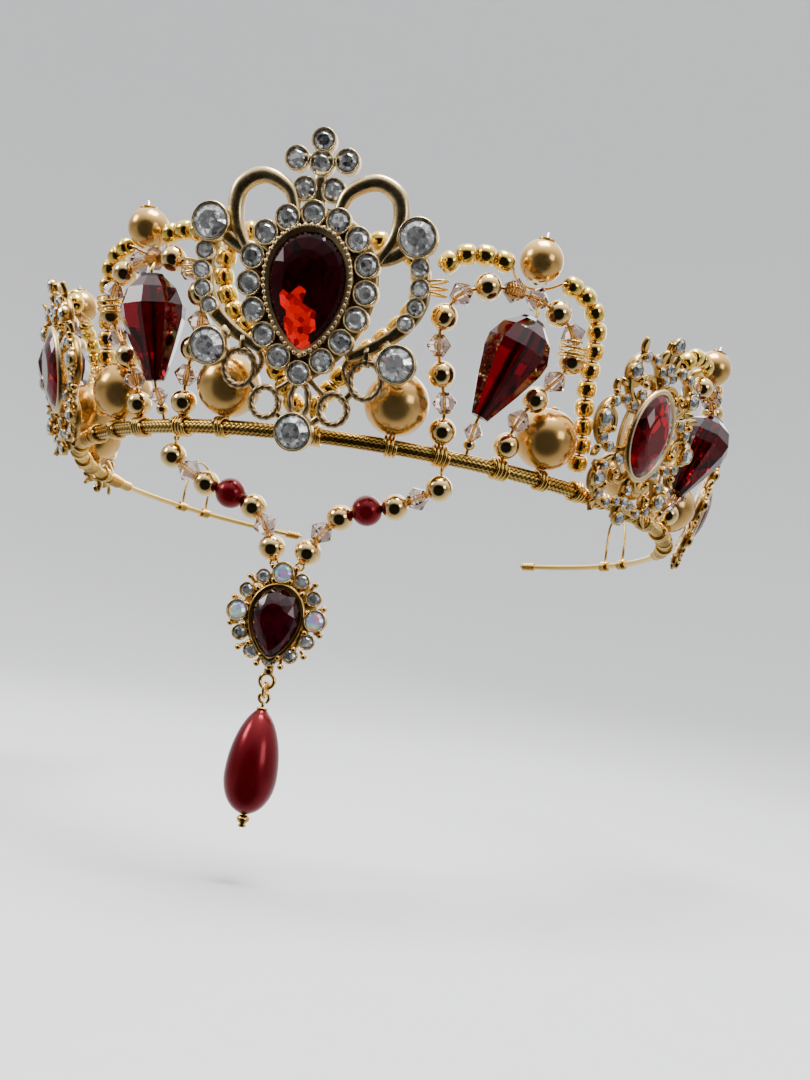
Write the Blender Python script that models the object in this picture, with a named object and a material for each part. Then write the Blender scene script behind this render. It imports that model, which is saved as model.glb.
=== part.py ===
"""Beaded circlet crown: a wired head band with cast medallions, beaded petals and a swinging forehead drop.

Frame: metres, +Z up as worn, the front faces -Y. The origin is the centre of the ring that the band forms.
Angles along the band are in degrees, from the front centre (0) towards +X. The crown's wall leans outwards,
so most pieces are placed in wall coordinates: along the band, up the wall, and out from the wall.
"""

import math

import bmesh
import bpy
import numpy as np
from mathutils import Matrix, Vector, geometry

MM = 0.001

# Head band
BAND_HALF_WIDTH = 72.3 * MM
BAND_HALF_DEPTH = 76.2 * MM
BAND_END_ANGLE = 150.0
BAND_WIRE_RADIUS = 0.76 * MM
SLEEVE_INNER_RADIUS = 1.16 * MM
SLEEVE_OUTER_RADIUS = 1.4 * MM
SLEEVE_END_ANGLE = 43.5
SIDE_COIL_ANGLES = (45.0, 97.0)
WALL_LEAN = math.atan(0.27)

# Wire and beads
WIRE_RADIUS = 0.35 * MM
GAP = 0.3 * MM
ROUND_BEAD_RADIUS = 2.5 * MM
BICONE_BEAD_RADIUS = 2.35 * MM
SEED_BEAD_RADIUS = 1.9 * MM
SEED_BEAD_PITCH = 3.5 * MM
RED_PEARL_RADIUS = 2.9 * MM
HOOK_RADIUS = SLEEVE_OUTER_RADIUS + GAP + WIRE_RADIUS

# Petals, one between each pair of medallions
PETAL_ANGLES = {"front": 25.5, "rear": 68.5}
PETAL_OUT = 0.3 * MM
PETAL_BEADS = "GBGBGBGBBGBGBGBG"
DROP_LENGTH = 19.8 * MM
DROP_RADIUS = 6.15 * MM
DROP_BORE_RADIUS = 0.8 * MM
DROP_FOOT = {"left": (-2.6 * MM, 8.3 * MM, 2.3 * MM), "right": (-2.4 * MM, 8.3 * MM, 2.3 * MM)}
DROP_LEAN = {"left": math.radians(1.0), "right": math.radians(17.0)}

# Pearls
LOWER_PEARL_RADIUS = 5.9 * MM
LOWER_PEARL_ANGLES = (12.6, 36.0, 56.2, 78.9)
LOWER_PEARL_UP = 7.7 * MM
LOWER_PEARL_OUT = (-1.8 * MM, -1.8 * MM, -3.0 * MM, -1.8 * MM)
TOP_PEARL_RADIUS = 4.0 * MM
TOP_PEARL_ALONG = 3.3 * MM
TOP_PEARL_UP = 38.1 * MM
TOP_PEARL_OUT = -2.2 * MM

# Medallions
CASTING_HALF_THICKNESS = 0.7 * MM
CENTRE_OUT = 4.0 * MM
CENTRE_STONE_UP = 24.25 * MM
CENTRE_STONE_HALF_WIDTH = 7.1 * MM
CENTRE_STONE_HALF_HEIGHT = 10.3 * MM
LARGE_STONE_RADIUS = 3.2 * MM
SIDE_ANGLE = 49.0
SIDE_OUT = 4.1 * MM
FAR_ANGLE = 89.5
FAR_OUT = 4.1 * MM
FAR_SCALE = 0.82
SIDE_STONE_HALF_WIDTH = 5.4 * MM
SIDE_STONE_HALF_HEIGHT = 8.4 * MM
SIDE_STONE_UP = 14.5 * MM

# Swag and pendant
SWAG_ANGLE = 20.5
CLUSTER_AXIS_Z = -23.6 * MM
CLUSTER_CENTRE_Z = -33.2 * MM
RING_AXIS_Z = -44.45 * MM
RING_RADIUS = 1.35 * MM
RING_WIRE_RADIUS = 0.3 * MM
PIN_LOOP_RADIUS = 0.9 * MM
DROP_AXIS_Z = RING_AXIS_Z - RING_RADIUS
PIN_LOOP_Z = RING_AXIS_Z - 2 * RING_RADIUS + 2 * RING_WIRE_RADIUS + 0.25 * MM - PIN_LOOP_RADIUS
DROP_PEARL_TOP_Z = -49.0 * MM
DROP_PEARL_LENGTH = 18.4 * MM
DROP_PEARL_RADIUS = 4.65 * MM
DROP_PEARL_BORE = 0.7 * MM

SIDES = {"right": 1, "left": -1}


def clear_scene():
    for item in list(bpy.data.objects):
        bpy.data.objects.remove(item, do_unlink=True)


def principled(name, colour, metallic, roughness):
    material = bpy.data.materials.new(name)
    material.use_nodes = True
    shader = material.node_tree.nodes["Principled BSDF"]
    shader.inputs["Base Color"].default_value = (*colour, 1.0)
    shader.inputs["Metallic"].default_value = metallic
    shader.inputs["Roughness"].default_value = roughness
    return material


# ---------------------------------------------------------------- frames on the crown's leaning wall

def band_point(angle):
    a = math.radians(angle)
    return np.array([BAND_HALF_WIDTH * math.sin(a), -BAND_HALF_DEPTH * math.cos(a), 0.0])


def band_directions(angle):
    """Outward normal and forward tangent of the band's ellipse, both level."""
    a = math.radians(angle)
    normal = np.array([math.sin(a) / BAND_HALF_WIDTH, -math.cos(a) / BAND_HALF_DEPTH, 0.0])
    normal /= np.linalg.norm(normal)
    return normal, np.array([-normal[1], normal[0], 0.0])


def degrees_per_metre(angle):
    a = math.radians(angle)
    speed = math.hypot(BAND_HALF_WIDTH * math.cos(a), BAND_HALF_DEPTH * math.sin(a))
    return math.degrees(1.0 / speed)


def wall_axes(angle):
    normal, tangent = band_directions(angle)
    rise = np.array([0.0, 0.0, 1.0])
    up = rise * math.cos(WALL_LEAN) + normal * math.sin(WALL_LEAN)
    out = normal * math.cos(WALL_LEAN) - rise * math.sin(WALL_LEAN)
    return tangent, up, out


def wall_point(angle, along, up, out):
    """A point on the bent wall, given the distances along, up and out from the band at an angle."""
    here = angle + along * degrees_per_metre(angle + 0.5 * along * degrees_per_metre(angle))
    _, up_axis, out_axis = wall_axes(here)
    return band_point(here) + up_axis * up + out_axis * out


def wall_matrix(angle, out=0.0):
    """Flat frame on the wall: local X along the band, Y up the wall and Z outwards."""
    tangent, up_axis, out_axis = wall_axes(angle)
    matrix = Matrix.Identity(4)
    for column, axis in enumerate((tangent, up_axis, out_axis)):
        for row in range(3):
            matrix[row][column] = axis[row]
    matrix.translation = Vector(band_point(angle) + out_axis * out)
    return matrix


# ---------------------------------------------------------------- shapes

def smooth_path(points, steps=8):
    """Catmull-Rom curve through the points."""
    pts = np.array(points, dtype=float)
    padded = np.vstack([2 * pts[0] - pts[1], pts, 2 * pts[-1] - pts[-2]])
    result = []
    for i in range(len(pts) - 1):
        p0, p1, p2, p3 = padded[i:i + 4]
        for t in np.arange(steps) / steps:
            result.append(0.5 * (2 * p1 + (p2 - p0) * t + (2 * p0 - 5 * p1 + 4 * p2 - p3) * t ** 2
                                 + (3 * p1 - p0 - 3 * p2 + p3) * t ** 3))
    result.append(pts[-1])
    return np.array(result)


def path_sampler(path):
    """Total length of a path, and a function from distance to position."""
    lengths = np.concatenate([[0.0], np.cumsum(np.linalg.norm(np.diff(path, axis=0), axis=1))])

    def position(distance):
        return np.array([np.interp(distance, lengths, path[:, k]) for k in range(path.shape[1])])

    return lengths[-1], position


def bead_stations(kind, centre, half_length):
    """Distances and radii that draw one bead on a wire."""
    if kind == "B":
        ends = [(centre - half_length, WIRE_RADIUS), (centre + half_length, WIRE_RADIUS)]
        return [ends[0], (centre, BICONE_BEAD_RADIUS), ends[1]]
    if kind == "S":
        return [(centre - half_length, 0.5 * SEED_BEAD_RADIUS), (centre, SEED_BEAD_RADIUS),
                (centre + half_length, 0.5 * SEED_BEAD_RADIUS)]
    radius = {"G": ROUND_BEAD_RADIUS, "R": RED_PEARL_RADIUS}[kind]
    flank = 0.5 * half_length
    return [(centre - half_length, WIRE_RADIUS), (centre - flank, 0.9 * radius),
            (centre + flank, 0.9 * radius), (centre + half_length, WIRE_RADIUS)]


def bead_string(path, kinds, start=0.0, end=0.0):
    """Points and radii of beads spread evenly along a path, leaving bare wire at its start and end."""
    total, position = path_sampler(path)
    pitch = (total - start - end) / len(kinds)
    stations = []
    for number, kind in enumerate(kinds):
        for distance, radius in bead_stations(kind, start + (number + 0.5) * pitch, 0.5 * pitch):
            if not stations or distance > stations[-1][0] + 0.02 * MM:
                stations.append((distance, radius))
    return [position(d) for d, _ in stations], [r for _, r in stations]


def sweep(points, radii, sides):
    """A solid of round section along the points."""
    pts = np.array(points, dtype=float)
    tangents = np.gradient(pts, axis=0)
    tangents /= np.linalg.norm(tangents, axis=1)[:, None]
    seed = np.eye(3)[int(np.argmin(abs(tangents[0])))]
    vertices = []
    for point, tangent, radius in zip(pts, tangents, radii):
        seed = seed - tangent * np.dot(seed, tangent)
        seed /= np.linalg.norm(seed)
        side = np.cross(tangent, seed)
        for k in range(sides):
            turn = 2 * math.pi * k / sides
            vertices.append(point + radius * (math.cos(turn) * seed + math.sin(turn) * side))
    faces = []
    for i in range(len(pts) - 1):
        for k in range(sides):
            a = i * sides + k
            b = i * sides + (k + 1) % sides
            faces.append((a, b, b + sides, a + sides))
    faces.append(tuple(reversed(range(sides))))
    faces.append(tuple(range((len(pts) - 1) * sides, len(pts) * sides)))
    return vertices, faces


def closed_sections(sections, wrap):
    """Faces between equal rings of vertices; the last ring meets the first when wrap is set."""
    count = len(sections[0])
    vertices = [point for section in sections for point in section]
    faces = []
    rings = len(sections) if wrap else len(sections) - 1
    for i in range(rings):
        j = (i + 1) % len(sections)
        for k in range(count):
            m = (k + 1) % count
            faces.append((i * count + k, i * count + m, j * count + m, j * count + k))
    if not wrap:
        faces.append(tuple(reversed(range(count))))
        faces.append(tuple(range((len(sections) - 1) * count, len(sections) * count)))
    return vertices, faces


def turned(profile, sides, bored=False):
    """A solid turned about local Z from (radius, height) points; a bored one is a closed loop of points."""
    sections = []
    for radius, height in profile:
        ring = []
        for k in range(sides):
            turn = 2 * math.pi * k / sides
            ring.append((radius * math.cos(turn), radius * math.sin(turn), height))
        sections.append(ring)
    return closed_sections(sections, wrap=bored)


def faceted(outline, levels):
    """A cut stone: the outline scaled about its middle at each (scale, height) level."""
    outline = np.array(outline)
    middle = outline.mean(axis=0)
    sections = []
    for scale, height in levels:
        flat = middle + (outline - middle) * scale
        sections.append([(x, y, height) for x, y in flat])
    return closed_sections(sections, wrap=False)


def circle(centre, radius, sides, stretch=1.0):
    turns = 2 * math.pi * (np.arange(sides) + 0.5) / sides
    return [(centre[0] + radius * math.sin(t), centre[1] + radius * stretch * math.cos(t)) for t in turns]


def pear(half_width, half_height, centre_up, count):
    """Pear outline with its point down."""
    widest = 0.861
    points = []
    for k in range(count):
        turn = 2 * math.pi * k / count
        x = half_width / widest * math.sin(turn) * math.sqrt(abs(math.sin(turn / 2)))
        points.append((x, centre_up - half_height * math.cos(turn)))
    return points


def navette(half_width, half_height, centre_up, count):
    """Oval outline with slightly pointed ends."""
    points = []
    for k in range(count):
        turn = 2 * math.pi * k / count
        x = half_width * math.copysign(abs(math.sin(turn)) ** 1.2, math.sin(turn))
        points.append((x, centre_up + half_height * math.cos(turn)))
    return points


def ribbon(points, width, steps=3, end_width=None):
    """Flat strip along a curve, as a list of four-cornered outlines."""
    path = smooth_path(points, steps)
    tangents = np.gradient(path, axis=0)
    tangents /= np.linalg.norm(tangents, axis=1)[:, None]
    across = np.stack([-tangents[:, 1], tangents[:, 0]], axis=1)
    widths = np.linspace(width, end_width or width, len(path))[:, None]
    left = path + across * widths / 2
    right = path - across * widths / 2
    return [[left[i], right[i], right[i + 1], left[i + 1]] for i in range(len(path) - 1)]


def hoop(centre, radius, stretch, width, sides=7):
    """Flat ring, as a list of four-cornered outlines."""
    outer = circle(centre, radius + width / 2, sides, stretch)
    inner = circle(centre, radius - width / 2, sides, stretch)
    return [[outer[k], outer[(k + 1) % sides], inner[(k + 1) % sides], inner[k]] for k in range(sides)]


def mirrored(shapes):
    return shapes + [[(-x, y) for x, y in shape] for shape in shapes]


def outline_union(shapes):
    """Boundary of the union of overlapping flat outlines: its points, and which point follows which."""
    merge_distance = 0.001 * MM
    coords, outlines = [], []
    for shape in shapes:
        corners = [Vector((float(p[0]), float(p[1]))) for p in shape]
        turning = sum(a.cross(b) for a, b in zip(corners, corners[1:] + corners[:1]))
        outlines.append(list(range(len(coords), len(coords) + len(shape))))
        coords.extend(corners if turning > 0 else corners[::-1])
    points, _, triangles, _, _, owners = geometry.delaunay_2d_cdt(coords, [], outlines, 1, merge_distance)
    kept = [tuple(t) for t, owner in zip(triangles, owners) if owner]
    edges = {(t[k], t[(k + 1) % 3]) for t in kept for k in range(3)}
    following = {a: b for a, b in edges if (b, a) not in edges}
    before = {b: a for a, b in following.items()}
    straight = 0.02 * MM
    for v in sorted(following):
        a, b = before[v], following[v]
        chord = points[b] - points[a]
        offset = abs(chord.cross(points[v] - points[a])) / max(chord.length, straight)
        if offset < straight:
            following[a] = b
            before[b] = a
            del following[v], before[v]
    return points, following


def casting(shapes, low, high):
    """Flat openwork casting: the union of overlapping outlines, between two heights."""
    points, following = outline_union(shapes)
    used = sorted(following)
    number = {v: i for i, v in enumerate(used)}
    rim = [(number[a], number[following[a]]) for a in used]
    corners = [points[v] for v in used]
    flat, _, triangles, originals, _, _ = geometry.delaunay_2d_cdt(corners, rim, [], 0, 1e-9)
    back = [owner[0] for owner in originals]
    ends = np.array([[*corners[a], *corners[b]] for a, b in rim])

    def inside(point):
        crosses = (ends[:, 1] > point[1]) != (ends[:, 3] > point[1])
        height = np.where(crosses, ends[:, 3] - ends[:, 1], 1.0)
        x = ends[:, 0] + (point[1] - ends[:, 1]) / height * (ends[:, 2] - ends[:, 0])
        return np.count_nonzero(crosses & (x > point[0])) % 2 == 1

    kept = []
    for triangle in triangles:
        middle = sum((flat[v] for v in triangle), Vector((0.0, 0.0))) / 3
        if inside(middle):
            kept.append(tuple(back[v] for v in triangle))
    count = len(used)
    vertices = [(p.x, p.y, low) for p in corners] + [(p.x, p.y, high) for p in corners]
    faces = [tuple(reversed(t)) for t in kept] + [tuple(v + count for v in t) for t in kept]
    faces += [(a, b, b + count, a + count) for a, b in rim]
    return vertices, faces


def band_hook(angle, first_turn, last_turn, count=6):
    """Wire that passes round the band in the plane across it; turns are in degrees up from outwards."""
    normal, _ = band_directions(angle)
    points = []
    for turn in np.linspace(first_turn, last_turn, count):
        t = math.radians(turn)
        radial = math.cos(t) * normal + np.array([0, 0, math.sin(t)])
        points.append(band_point(angle) + HOOK_RADIUS * radial)
    return points


# ---------------------------------------------------------------- objects

def add_object(name, shape, material, matrix=None, parent=None, smooth_angle=40.0):
    """Make a closed mesh object; its vertices are in the frame that matrix gives."""
    vertices, faces = shape
    mesh = bpy.data.meshes.new(name)
    mesh.from_pydata([tuple(map(float, v)) for v in vertices], [], faces)
    work = bmesh.new()
    work.from_mesh(mesh)
    bmesh.ops.recalc_face_normals(work, faces=work.faces)
    bmesh.ops.triangulate(work, faces=work.faces)
    if work.calc_volume(signed=True) < 0:
        bmesh.ops.reverse_faces(work, faces=work.faces)
    work.to_mesh(mesh)
    work.free()
    mesh.materials.append(material)
    mesh.shade_smooth()
    mesh.set_sharp_from_angle(angle=math.radians(smooth_angle))
    item = bpy.data.objects.new(name, mesh)
    bpy.context.scene.collection.objects.link(item)
    if parent:
        item.parent = parent
    if matrix:
        item.matrix_local = matrix
    return item


def add_around(name, points, radii, sides, material, origin, parent=None):
    """A swept solid whose object origin is the given point."""
    local = [np.array(p) - origin for p in points]
    item = add_object(name, sweep(local, radii, sides), material, parent=parent)
    item.location = Vector(origin) - (parent.matrix_world.translation if parent else Vector((0, 0, 0)))
    return item


def add_axis(name, location, parent=None):
    """Empty on a joint's axis, which the moving pieces hang from."""
    empty = bpy.data.objects.new(name, None)
    empty.empty_display_size = 4 * MM
    bpy.context.scene.collection.objects.link(empty)
    if parent:
        empty.parent = parent
        empty.location = Vector(location) - parent.matrix_world.translation
    else:
        empty.location = location
    bpy.context.view_layer.update()
    return empty


def tube_along_band(name, angles, inner, outer, sides, material):
    """Tube that follows the band between two angles."""
    step = 5.0
    count = max(2, round((angles[1] - angles[0]) / step) + 1)
    sections = []
    stations = np.linspace(angles[0], angles[1], count)
    for radius, order in ((outer, stations), (inner, stations[::-1])):
        for angle in order:
            normal, _ = band_directions(angle)
            ring = []
            for k in range(sides):
                turn = 2 * math.pi * k / sides
                ring.append(band_point(angle) + radius * (math.cos(turn) * normal
                                                          + np.array([0, 0, math.sin(turn)])))
            sections.append(ring)
    return add_object(name, closed_sections(sections, wrap=True), material)


def make_band(paint):
    stations = np.linspace(-BAND_END_ANGLE, BAND_END_ANGLE, 51)
    add_object("band_wire", sweep([band_point(a) for a in stations], [BAND_WIRE_RADIUS] * len(stations), 6),
               paint["gold_wire"])
    tube_along_band("braided_sleeve", (-SLEEVE_END_ANGLE, SLEEVE_END_ANGLE), SLEEVE_INNER_RADIUS,
                    SLEEVE_OUTER_RADIUS, 6, paint["gold_braid"])
    for side, sign in SIDES.items():
        angles = sorted(sign * a for a in SIDE_COIL_ANGLES)
        tube_along_band(f"side_coil_{side}", angles, SLEEVE_INNER_RADIUS, SLEEVE_OUTER_RADIUS, 6,
                        paint["gold_wire"])


def make_ribbon_loop(side, sign, paint):
    """Upright wire loop on the back rod, with a turn of wire round the rod at each foot."""
    feet = (115.5, 122.5)
    height = 14.0 * MM
    turn_radius = BAND_WIRE_RADIUS + GAP + WIRE_RADIUS
    points = []
    for foot, turns in ((feet[0], (200.0, -20.0)), (feet[1], (-20.0, 200.0))):
        normal, tangent = band_directions(sign * foot)
        offset = sign * (foot - sum(feet) / 2) * 0.1 * MM
        hook = []
        for turn in np.linspace(turns[0], turns[1], 5):
            t = math.radians(turn)
            hook.append(band_point(sign * foot) + tangent * offset
                        + turn_radius * (-math.cos(t) * normal - np.array([0, 0, math.sin(t)])))
        if foot == feet[0]:
            points += hook
            rise = hook[-1]
        else:
            descent = hook[0]
            for part in np.linspace(0.0, 1.0, 9):
                arch = math.sin(math.pi * part) ** 0.45
                level = rise + (descent - rise) * (0.5 - 0.5 * math.cos(math.pi * part))
                points.append(level + np.array([0, 0, height * arch]))
            points += hook
    kept = [points[0]]
    for point in points[1:]:
        if np.linalg.norm(point - kept[-1]) > 0.05 * MM:
            kept.append(point)
    origin = band_point(sign * sum(feet) / 2)
    add_around(f"ribbon_loop_{side}", kept, [WIRE_RADIUS] * len(kept), 5, paint["gold_wire"], origin)


# ---------------------------------------------------------------- medallions

def make_rhinestone(name, centre, matrix, paint):
    outline = circle((0.0, 0.0), LARGE_STONE_RADIUS, 10)
    base = CASTING_HALF_THICKNESS + GAP
    shape = faceted(outline, [(0.9, base), (1.0, base + 1.1 * MM), (0.62, base + 2.3 * MM)])
    place = matrix @ Matrix.Translation((centre[0], centre[1], 0.0))
    add_object(name, shape, paint["clear_stone"], place, smooth_angle=10.0)


def centre_outlines():
    """Outlines of the centre medallion's openwork, in millimetres."""
    one_side = []
    one_side += ribbon([(4.0, 37.5), (5.6, 41.3), (9.8, 43.2), (13.4, 41.6), (14.5, 38.2), (13.9, 34.8),
                        (11.6, 31.0)], 2.5)
    one_side += ribbon([(10.8, 31.0), (14.2, 31.8), (17.2, 34.0)], 2.6, steps=1)
    one_side += ribbon([(17.9, 33.5), (18.9, 29.5), (19.1, 24.5), (16.8, 19.9), (13.3, 16.6), (7.6, 13.8)],
                       3.0, steps=2, end_width=1.8)
    one_side.append(circle((18.1, 34.5), 3.55, 8))
    one_side.append(circle((16.8, 13.5), 3.55, 8))
    one_side += ribbon([(16.8, 13.5), (14.0, 17.0)], 2.4, steps=1)
    one_side += hoop((11.4, 10.4), 2.6, 1.2, 1.0)
    one_side += ribbon([(11.1, 13.2), (11.1, 15.6)], 1.2, steps=1)
    one_side += hoop((6.2, 4.9), 2.4, 1.05, 1.0)
    one_side += ribbon([(9.8, 8.6), (7.4, 6.4)], 1.1, steps=1)
    one_side += ribbon([(4.4, 3.6), (1.6, 1.4)], 1.1, steps=1)
    one_side += [circle((2.5, 41.7), 2.3, 6), circle((4.4, 46.6), 2.3, 6)]
    outlines = mirrored(one_side)
    outlines.append(pear(12.3, 15.3, 23.75, 20))
    outlines += hoop((0.0, 5.7), 1.5, 1.9, 0.9)
    outlines += [circle((0.0, 46.1), 2.3, 6), circle((0.0, 49.8), 2.3, 6), circle((0.0, 0.3), 3.1, 8)]
    outlines += ribbon([(0.0, 38.0), (0.0, 44.5)], 2.0, steps=1)
    outlines += ribbon([(-4.4, 46.6), (0.0, 46.3), (4.4, 46.6)], 1.6, steps=1)
    return outlines


def make_centre_medallion(paint):
    place = wall_matrix(0.0, CENTRE_OUT)
    outlines = [[(x * MM, y * MM) for x, y in outline] for outline in centre_outlines()]
    add_object("centre_medallion_frame", casting(outlines, -CASTING_HALF_THICKNESS, CASTING_HALF_THICKNESS),
               paint["cast_gold"], place)
    base = CASTING_HALF_THICKNESS + GAP
    inner = np.array(pear(CENTRE_STONE_HALF_WIDTH + GAP, CENTRE_STONE_HALF_HEIGHT + GAP, CENTRE_STONE_UP, 20))
    outer = np.array(pear(CENTRE_STONE_HALF_WIDTH + 1.1 * MM, CENTRE_STONE_HALF_HEIGHT + 1.1 * MM,
                          CENTRE_STONE_UP, 20))
    wall_height = 2.0 * MM
    sections = []
    rim = base + wall_height
    for ring, height in ((inner, base), (outer, base), (outer, rim), (inner, rim)):
        sections.append([(x, y, height) for x, y in ring])
    add_object("centre_stone_bezel", closed_sections(sections, wrap=True), paint["cast_gold"], place)
    stone = pear(CENTRE_STONE_HALF_WIDTH, CENTRE_STONE_HALF_HEIGHT, CENTRE_STONE_UP, 14)
    steps = [(0.9, base), (0.97, base + 1.6 * MM), (0.8, base + 3.2 * MM), (0.45, base + 4.2 * MM)]
    shape = faceted(stone, steps)
    add_object("centre_stone", shape, paint["red_stone"], place, smooth_angle=10.0)
    seats = {"upper_right": (18.1, 34.5), "upper_left": (-18.1, 34.5), "lower_right": (16.8, 13.5),
             "lower_left": (-16.8, 13.5), "bottom": (0.0, 0.3)}
    for name, (x, y) in seats.items():
        make_rhinestone(f"rhinestone_{name}", (x * MM, y * MM), place, paint)


def side_outlines():
    """Outlines of a side medallion's openwork, in millimetres."""
    one_side = []
    one_side += ribbon([(0.6, 25.0), (3.4, 27.6), (6.8, 27.2), (9.4, 24.2)], 1.5, steps=1)
    one_side += ribbon([(9.2, 24.0), (7.6, 20.6), (5.0, 18.6)], 1.4, steps=1)
    one_side += ribbon([(4.6, 17.8), (8.6, 18.4), (12.0, 16.6), (13.2, 14.2), (12.0, 11.8), (8.6, 9.8),
                        (4.4, 10.2)], 1.5, steps=1)
    one_side += ribbon([(4.2, 8.4), (7.4, 6.8), (9.8, 3.8)], 1.5, steps=1)
    one_side += ribbon([(9.6, 3.4), (6.6, 1.0), (3.2, 1.2), (0.6, 3.4)], 1.5, steps=1)
    one_side += [circle((9.6, 24.2), 1.7, 6), circle((13.3, 14.2), 1.8, 6), circle((9.9, 3.5), 1.7, 6)]
    outlines = mirrored(one_side)
    outlines.append(navette(6.9, 10.0, 14.5, 16))
    outlines += ribbon([(0.0, 23.0), (0.0, 33.0)], 1.7, steps=1)
    outlines += ribbon([(0.0, 6.0), (0.0, -2.6)], 1.7, steps=1)
    outlines += [circle((0.0, 32.6), 1.8, 6), circle((0.0, -2.4), 1.7, 6)]
    return outlines


def make_side_medallion(name, angle, out, scale, paint):
    place = wall_matrix(angle, out)
    size = scale * MM
    outlines = [[(x * size, y * size) for x, y in outline] for outline in side_outlines()]
    add_object(f"{name}_frame", casting(outlines, -CASTING_HALF_THICKNESS, CASTING_HALF_THICKNESS),
               paint["cast_gold"], place)
    base = CASTING_HALF_THICKNESS + GAP
    half_width, half_height = SIDE_STONE_HALF_WIDTH * scale, SIDE_STONE_HALF_HEIGHT * scale
    outline = navette(half_width, half_height, SIDE_STONE_UP * scale, 12)
    shape = faceted(outline, [(1.05, base), (1.05, base + 1.2 * MM), (0.5, base + 3.0 * MM)])
    add_object(f"{name}_stone", shape, paint["red_stone"], place, smooth_angle=10.0)


# ---------------------------------------------------------------- strung beads and pearls

def petal_path(angle, sign):
    """Centre line of a petal's bead string from its inner foot to its outer foot."""
    outline = [(-7.2, 2.0), (-7.7, 4.4), (-8.2, 9.0), (-9.8, 14.0), (-11.2, 19.0), (-11.3, 24.0)]
    outline += [(-9.4, 28.4), (-4.6, 31.0), (1.0, 31.3), (6.4, 30.3), (10.8, 27.8), (12.7, 23.8)]
    outline += [(11.4, 19.6), (8.8, 15.8), (6.5, 11.6), (5.0, 7.6), (4.5, 4.4), (4.3, 2.0)]
    points = []
    for number, (along, up) in enumerate(outline):
        at_foot = number in (0, len(outline) - 1)
        out = 1.0 * MM if at_foot else PETAL_OUT
        points.append(wall_point(sign * angle, sign * along * MM, up * MM, out))
    return smooth_path(points, 6)


def foot_angle(angle, sign, along):
    halfway = angle + 0.5 * along * MM * degrees_per_metre(angle)
    return sign * (angle + along * MM * degrees_per_metre(halfway))


def make_petal(place, side, sign, paint):
    angle = PETAL_ANGLES[place]
    path = petal_path(angle, sign)
    points, radii = bead_string(path, PETAL_BEADS)
    inner = band_hook(foot_angle(angle, sign, -7.2), -200.0, 22.0)
    outer = band_hook(foot_angle(angle, sign, 4.3), 22.0, -200.0)
    points = inner + points + outer
    radii = [WIRE_RADIUS] * len(inner) + radii + [WIRE_RADIUS] * len(outer)
    add_around(f"petal_{place}_{side}", points, radii, 5, paint["gold_bead"], band_point(sign * angle))


def drop_matrix(angle, sign):
    """Frame of a petal's drop: local Z climbs along the hanging wire from the drop's foot."""
    side = "right" if sign > 0 else "left"
    along, up, out = DROP_FOOT[side]
    lean = DROP_LEAN[side]
    tangent, up_axis, out_axis = wall_axes(sign * angle)
    z_axis = up_axis * math.cos(lean) + tangent * sign * math.sin(lean)
    y_axis = out_axis
    x_axis = np.cross(y_axis, z_axis)
    matrix = Matrix.Identity(4)
    for column, axis in enumerate((x_axis, y_axis, z_axis)):
        for row in range(3):
            matrix[row][column] = axis[row]
    matrix.translation = Vector(wall_point(sign * angle, sign * along, up, out))
    return matrix


def make_drop(place, side, sign, paint):
    angle = PETAL_ANGLES[place]
    matrix = drop_matrix(angle, sign)
    length, radius, bore = DROP_LENGTH, DROP_RADIUS, DROP_BORE_RADIUS
    profile = [(bore, 0.0), (1.5 * MM, 0.0), (0.62 * radius, 0.34 * length), (0.97 * radius, 0.62 * length),
               (radius, 0.72 * length), (0.78 * radius, 0.88 * length), (2.2 * MM, length), (bore, length)]
    add_object(f"drop_{place}_{side}", turned(profile, 8, bored=True), paint["red_stone"], matrix,
               smooth_angle=10.0)
    top = np.array(matrix @ Vector((0, 0, length + 1.0 * MM)))
    foot = np.array(matrix @ Vector((0, 0, -0.6 * MM)))
    bead = wall_point(sign * angle, sign * -2.6 * MM, 5.6 * MM, 1.6 * MM)
    spacer = wall_point(sign * angle, sign * -2.5 * MM, 3.2 * MM, 0.6 * MM)
    along = smooth_path([foot, bead, spacer], 4)
    small, large = 1.1 * MM, 1.9 * MM
    points = [top, foot, along[2], along[4], along[6], along[7], along[8]]
    radii = [WIRE_RADIUS, WIRE_RADIUS, 0.7 * MM, large, small * 0.6, small, WIRE_RADIUS]
    add_around(f"drop_wire_{place}_{side}", points, radii, 6, paint["gold_wire"], np.array(matrix.translation))


def make_lower_pearl(number, side, sign, paint):
    """Pearl that sits on the band, on a short stem of wire."""
    matrix = wall_matrix(sign * LOWER_PEARL_ANGLES[number])
    radius = LOWER_PEARL_RADIUS
    centre = Matrix.Translation((0.0, LOWER_PEARL_UP, LOWER_PEARL_OUT[number]))
    centre = centre @ Matrix.Rotation(-math.pi / 2, 4, "X")
    profile = [(0.4 * radius, -0.95 * radius), (0.86 * radius, -0.55 * radius), (1.02 * radius, 0.0),
               (0.86 * radius, 0.55 * radius), (0.4 * radius, 0.95 * radius)]
    add_object(f"pearl_{number + 1}_{side}", turned(profile, 10), paint["pearl"], matrix @ centre)


def make_top_pearl(place, side, sign, paint):
    """Small pearl on a head pin above a petal."""
    angle = PETAL_ANGLES[place]
    here = foot_angle(angle, sign, TOP_PEARL_ALONG / MM)
    matrix = wall_matrix(here)
    radius = TOP_PEARL_RADIUS
    centre = Matrix.Translation((0.0, TOP_PEARL_UP, TOP_PEARL_OUT)) @ Matrix.Rotation(-math.pi / 2, 4, "X")
    profile = [(0.4 * radius, -0.95 * radius), (0.86 * radius, -0.55 * radius), (1.02 * radius, 0.0),
               (0.86 * radius, 0.55 * radius), (0.3 * radius, radius), (0.3 * radius, radius + 0.5 * MM)]
    add_object(f"top_pearl_{place}_{side}", turned(profile, 8), paint["pearl"], matrix @ centre)


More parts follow.
